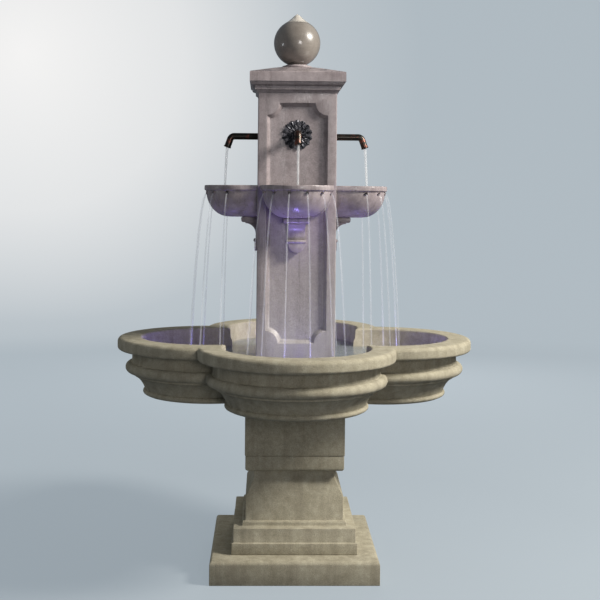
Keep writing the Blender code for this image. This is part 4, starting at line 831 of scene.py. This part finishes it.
cup = side_radius(bowl_water - bowl_low[2], wall, rise - wall, body_reach - bowl_foot - wall) + 0.004
for quarter, side in enumerate(front_to_left):
    bm = bmesh.new()
    rim = [bm.verts.new((cup, 0, 0))]
    spun = bmesh.ops.spin(bm, geom=rim, cent=(0, 0, 0), axis=(0, 0, 1), angle=-math.pi, steps=28)["geom_last"]
    straight = [bm.verts.new((across, back - wall, 0)) for across in (cup, -cup)]
    bm.edges.new((rim[0], straight[0]))
    bm.edges.new((verts_in(spun)[0], straight[1]))
    bm.edges.new(straight)
    pool = bmesh.ops.edgeloop_fill(bm, edges=list(bm.edges))["faces"]
    for shrink in range(5):
        bmesh.ops.inset_region(bm, faces=pool, thickness=0.016, use_even_offset=True)
    for vertex in bm.verts:
        landing = math.hypot(vertex.co.x, vertex.co.y + 0.05)
        vertex.co.z = 0.0012 * math.sin(landing * 210.0) * math.exp(-landing * 16.0)
    bmesh.ops.solidify(bm, geom=list(bm.faces), thickness=0.005)
    bmesh.ops.translate(bm, verts=bm.verts, vec=(0, -bowl_axis, bowl_water))
    facing_out(bm, quarter)
    piece(f"bowl_water_{side}", bm, "fountain", standing, smooth=60)

landings = []
for quarter in range(4):
    for angle in weir_angles:
        outward = weir_outward(angle)
        landing = outward * (body_reach + 0.0015 + weir_speed * weir_fall_time) + Vector((0, -bowl_axis, 0))
        landing.rotate(Matrix.Rotation(quarter * math.pi / 2, 3, "Z"))
        landings.append(landing)
bm = bmesh.new()
line = [bm.verts.new((0.2545 * step / 34, -lobe_offset, water_level)) for step in range(35)]
line_edges = [bm.edges.new(pair) for pair in zip(line, line[1:])]
bmesh.ops.spin(bm, geom=[*line, *line_edges], cent=(0, -lobe_offset, 0), axis=(0, 0, 1),
               angle=2 * math.pi, steps=110, use_merge=True)
bmesh.ops.remove_doubles(bm, verts=bm.verts, dist=0.00001)
for point, away in (((0, 0, 0), (1, 1, 0)), ((0, 0, 0), (-1, 1, 0)), ((0, -face - 0.0004, 0), (0, 1, 0))):
    bmesh.ops.bisect_plane(bm, geom=[*bm.verts, *bm.edges, *bm.faces], dist=0.000001, plane_co=point,
                           plane_no=away, clear_outer=True)
set_round_column(bm)
for vertex in bm.verts:
    swell = 0.0
    for landing in landings:
        reach = math.hypot(vertex.co.x - landing.x, vertex.co.y - landing.y)
        if reach < 0.14:
            swell += 0.0013 * math.cos(reach * 190.0) * math.exp(-reach * 24.0)
    vertex.co.z += swell + 0.0007 * noise.noise(vertex.co * 22.0)
bmesh.ops.solidify(bm, geom=list(bm.faces), thickness=0.006)
piece("basin_water", bm, "fountain", standing, smooth=80)


def on_ball(radius):
    """The height of the ball's skin at a distance from its axis."""
    return math.sqrt(ball_radius ** 2 - radius ** 2) + ball_centre


bubble_high = 2.063
bm = turned([(0.0003, bubble_high + 0.0048), (0.0012, bubble_high + 0.0040), (0.0026, bubble_high + 0.0018),
             (0.0052, bubble_high + 0.0002), (0.0092, bubble_high - 0.0022), (0.0142, bubble_high - 0.0064),
             (0.0200, bubble_high - 0.0122), (0.0275, bubble_high - 0.0185), (0.0365, on_ball(0.036) + 0.0009),
             (0.0445, on_ball(0.0445) + 0.0005), (0.0440, on_ball(0.0440) - 0.0005),
             (0.0360, on_ball(0.036) - 0.0005), (0.0240, on_ball(0.024) - 0.0005),
             (0.0124, on_ball(0.0124) - 0.0004), (0.0122, bubble_high - 0.0065),
             (0.0095, bubble_high - 0.0035), (0.0003, bubble_high - 0.0028)], 48)
piece("bubbler_dome", bm, "finial", welling, smooth=80)


# Basin lights. A black housing stands on the floor of each lobe, with a bezel ring and a domed lens that
# glows violet. A spot above it throws the same light up at the bowl, and a bare lamp lights the lobe's wall.
light_low, light_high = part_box("light_front")
light_at, housing, tall = 0.400, light_high[0], light_high[2] - light_low[2]
black_plastic, shader, place = new_finish("black_plastic", Specular_IOR_Level=0.4)
grain = place.noise(900.0, 2.0)
cloud = place.noise(60.0, 3.0)
feed(shader, Base_Color=cloud.blend((0.012, 0.012, 0.013, 1), (0.030, 0.030, 0.032, 1)),
     Roughness=0.42 + grain * 0.2, Normal=relief(grain, 0.0002, 0.4))
lens, shader, place = new_finish("violet_lens", Roughness=0.12, Emission_Strength=14.0)
flat = place.stretched((1.0, 1.0, 0.0))
radial = place.node("VectorMath", {"operation": "LENGTH"}, {0: flat}, output="Value")
glow = place.noise(160.0, 2.0)
outer = (radial + glow * 0.01).ramp((0.36, 0.0), (0.44, 1.0))
feed(shader, Base_Color=glow.blend((0.16, 0.10, 0.62, 1), (0.30, 0.22, 0.85, 1)),
     Emission_Color=outer.blend((0.20, 0.10, 1.0, 1), (0.30, 0.16, 1.0, 1)))
ring, glow_powers = 0.0275, (11.0, 5.0, 5.0, 2.5)


def part_way(share):
    """A height at a share of the way up a light."""
    return light_low[2] + tall * share


def violet_lamp(name, kind, power, colour, softness):
    made = add_object(name, bpy.data.lights.new(name, kind))
    made.data.energy = power
    made.data.color = colour
    made.data.shadow_soft_size = softness
    return made


for quarter, side in enumerate(front_to_left):
    bm = turned([(0.002, light_low[2]), (housing, light_low[2]), (housing, part_way(0.52)),
                 (housing - 0.0012, part_way(0.56)), (housing - 0.0012, part_way(0.60)),
                 *arc((housing - 0.0035, part_way(0.66)), 0.0034, 0, 90, 5), (ring + 0.0006, part_way(0.78)),
                 (ring, part_way(0.72)), (ring, part_way(0.40)), (0.002, part_way(0.40))], 48, (0.0, -light_at))
    facing_out(bm, quarter)
    piece(f"light_housing_{side}", bm, "fountain", black_plastic, f"light_{side}", slot="black_plastic")
    dome = [(ring * math.cos(math.radians(up)), part_way(0.72 + 0.27 * math.sin(math.radians(up))))
            for up in (12, 25, 40, 55, 70, 82)]
    bm = turned([(0.001, part_way(0.42)), (ring - 0.0003, part_way(0.42)), (ring - 0.0003, part_way(0.70)),
                 *dome, (0.001, part_way(0.99))], 48, (0.0, -light_at))
    facing_out(bm, quarter)
    piece(f"light_lens_{side}", bm, "fountain", lens)
    facing = Matrix.Rotation(quarter * math.pi / 2, 4, "Z")
    spot = Vector((0, -light_at + 0.03, water_level + 0.012))
    aim = Vector((0, -bowl_axis + 0.02, bowl_low[2])) - spot
    glow_lamp = violet_lamp(f"light_glow_{side}", "SPOT", glow_powers[quarter], (0.36, 0.27, 1.0), 0.07)
    glow_lamp.data.spot_size = math.radians(38)
    glow_lamp.data.spot_blend = 0.9
    aimed = aim.to_track_quat("-Z", "Y").to_matrix().to_4x4()
    glow_lamp.matrix_world = facing @ Matrix.Translation(spot) @ aimed
    wall_lamp = violet_lamp(f"light_wall_{side}", "POINT", 0.55, (0.30, 0.24, 1.0), 0.02)
    wall_lamp.matrix_world = facing @ Matrix.Translation((0, -light_at - 0.03, water_level + 0.012))


# Plumbing, pump and drain. These CAD pieces keep their shape and are given their own finishes: brass, steel,
# copper, moulded plastic, rubber, vinyl and ceramic, each with the marks of use that its kind has.
def metal(name, clean, dull, roughness, tarnish):
    made, shader, place = new_finish(name, Metallic=1.0)
    cloud = place.noise(70.0, 4.0)
    brushed = place.stretched((40.0, 40.0, 900.0)).noise(1.0, 2.0)
    marks = (cloud * 0.8 + brushed * 0.2).ramp((0.5 - tarnish * 0.2, 0.0), (0.75, 1.0))
    feed(shader, Base_Color=marks.blend(clean, dull), Roughness=roughness + cloud * 0.15 + brushed * 0.05,
         Normal=relief(brushed + cloud, 0.0003, 0.35))
    return made


def plastic(name, colour, worn, roughness, pitch=800.0):
    made, shader, place = new_finish(name)
    grain = place.noise(pitch, 2.0)
    cloud = place.noise(45.0, 3.0)
    feed(shader, Base_Color=(cloud * 0.7 + grain * 0.3).ramp((0.35, 0.0), (0.68, 1.0)).blend(colour, worn),
         Roughness=roughness + grain * 0.15, Normal=relief(grain, 0.0002, 0.4))
    return made


finishes = {
    "brass": metal("cast_brass", (0.62, 0.44, 0.19, 1), (0.34, 0.23, 0.10, 1), 0.28, 0.6),
    "stainless_steel": metal("brushed_steel", (0.58, 0.58, 0.59, 1), (0.44, 0.44, 0.45, 1), 0.24, 0.2),
    "copper": metal("copper_tube", (0.68, 0.33, 0.20, 1), (0.32, 0.16, 0.10, 1), 0.27, 0.5),
    "dark_bronze": bronze,
    "black_plastic": black_plastic,
    "grey_plastic": plastic("grey_plastic", (0.27, 0.28, 0.29, 1), (0.34, 0.35, 0.36, 1), 0.38),
    "rubber": plastic("black_rubber", (0.018, 0.018, 0.018, 1), (0.045, 0.044, 0.042, 1), 0.72, 300.0),
    "vinyl_hose": plastic("vinyl_tube", (0.42, 0.46, 0.45, 1), (0.52, 0.55, 0.53, 1), 0.14, 60.0),
    "ceramic": plastic("ceramic_shaft", (0.80, 0.79, 0.75, 1), (0.88, 0.87, 0.84, 1), 0.18, 500.0),
}
carried = {
    "brass": ("valve_body", "valve_tail", *(f"spout_nut_{side}" for side in front_to_left)),
    "stainless_steel": ("valve_ball", "valve_handle", "hose_clamp_lower", "hose_clamp_upper"),
    "copper": ("bubbler_pipe", "overflow_standpipe"),
    "dark_bronze": ("bubbler_nozzle",),
    "black_plastic": ("pump_body", "pump_cover", "intake_grille"),
    "grey_plastic": ("pump_flow_dial", "pump_impeller", "manifold", "drain_fitting", "drain_nut", "cable_gland",
                     "gland_nut"),
    "rubber": ("pump_base", "drain_gasket", "cord_grommet"),
    "vinyl_hose": ("riser_hose", *(f"supply_tube_{side}" for side in front_to_left)),
    "ceramic": ("pump_shaft",),
}
for slot, names in carried.items():
    for name in names:
        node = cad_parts[name]
        for holder in node.material_slots:
            holder.link = "OBJECT"
            holder.material = finishes[slot]
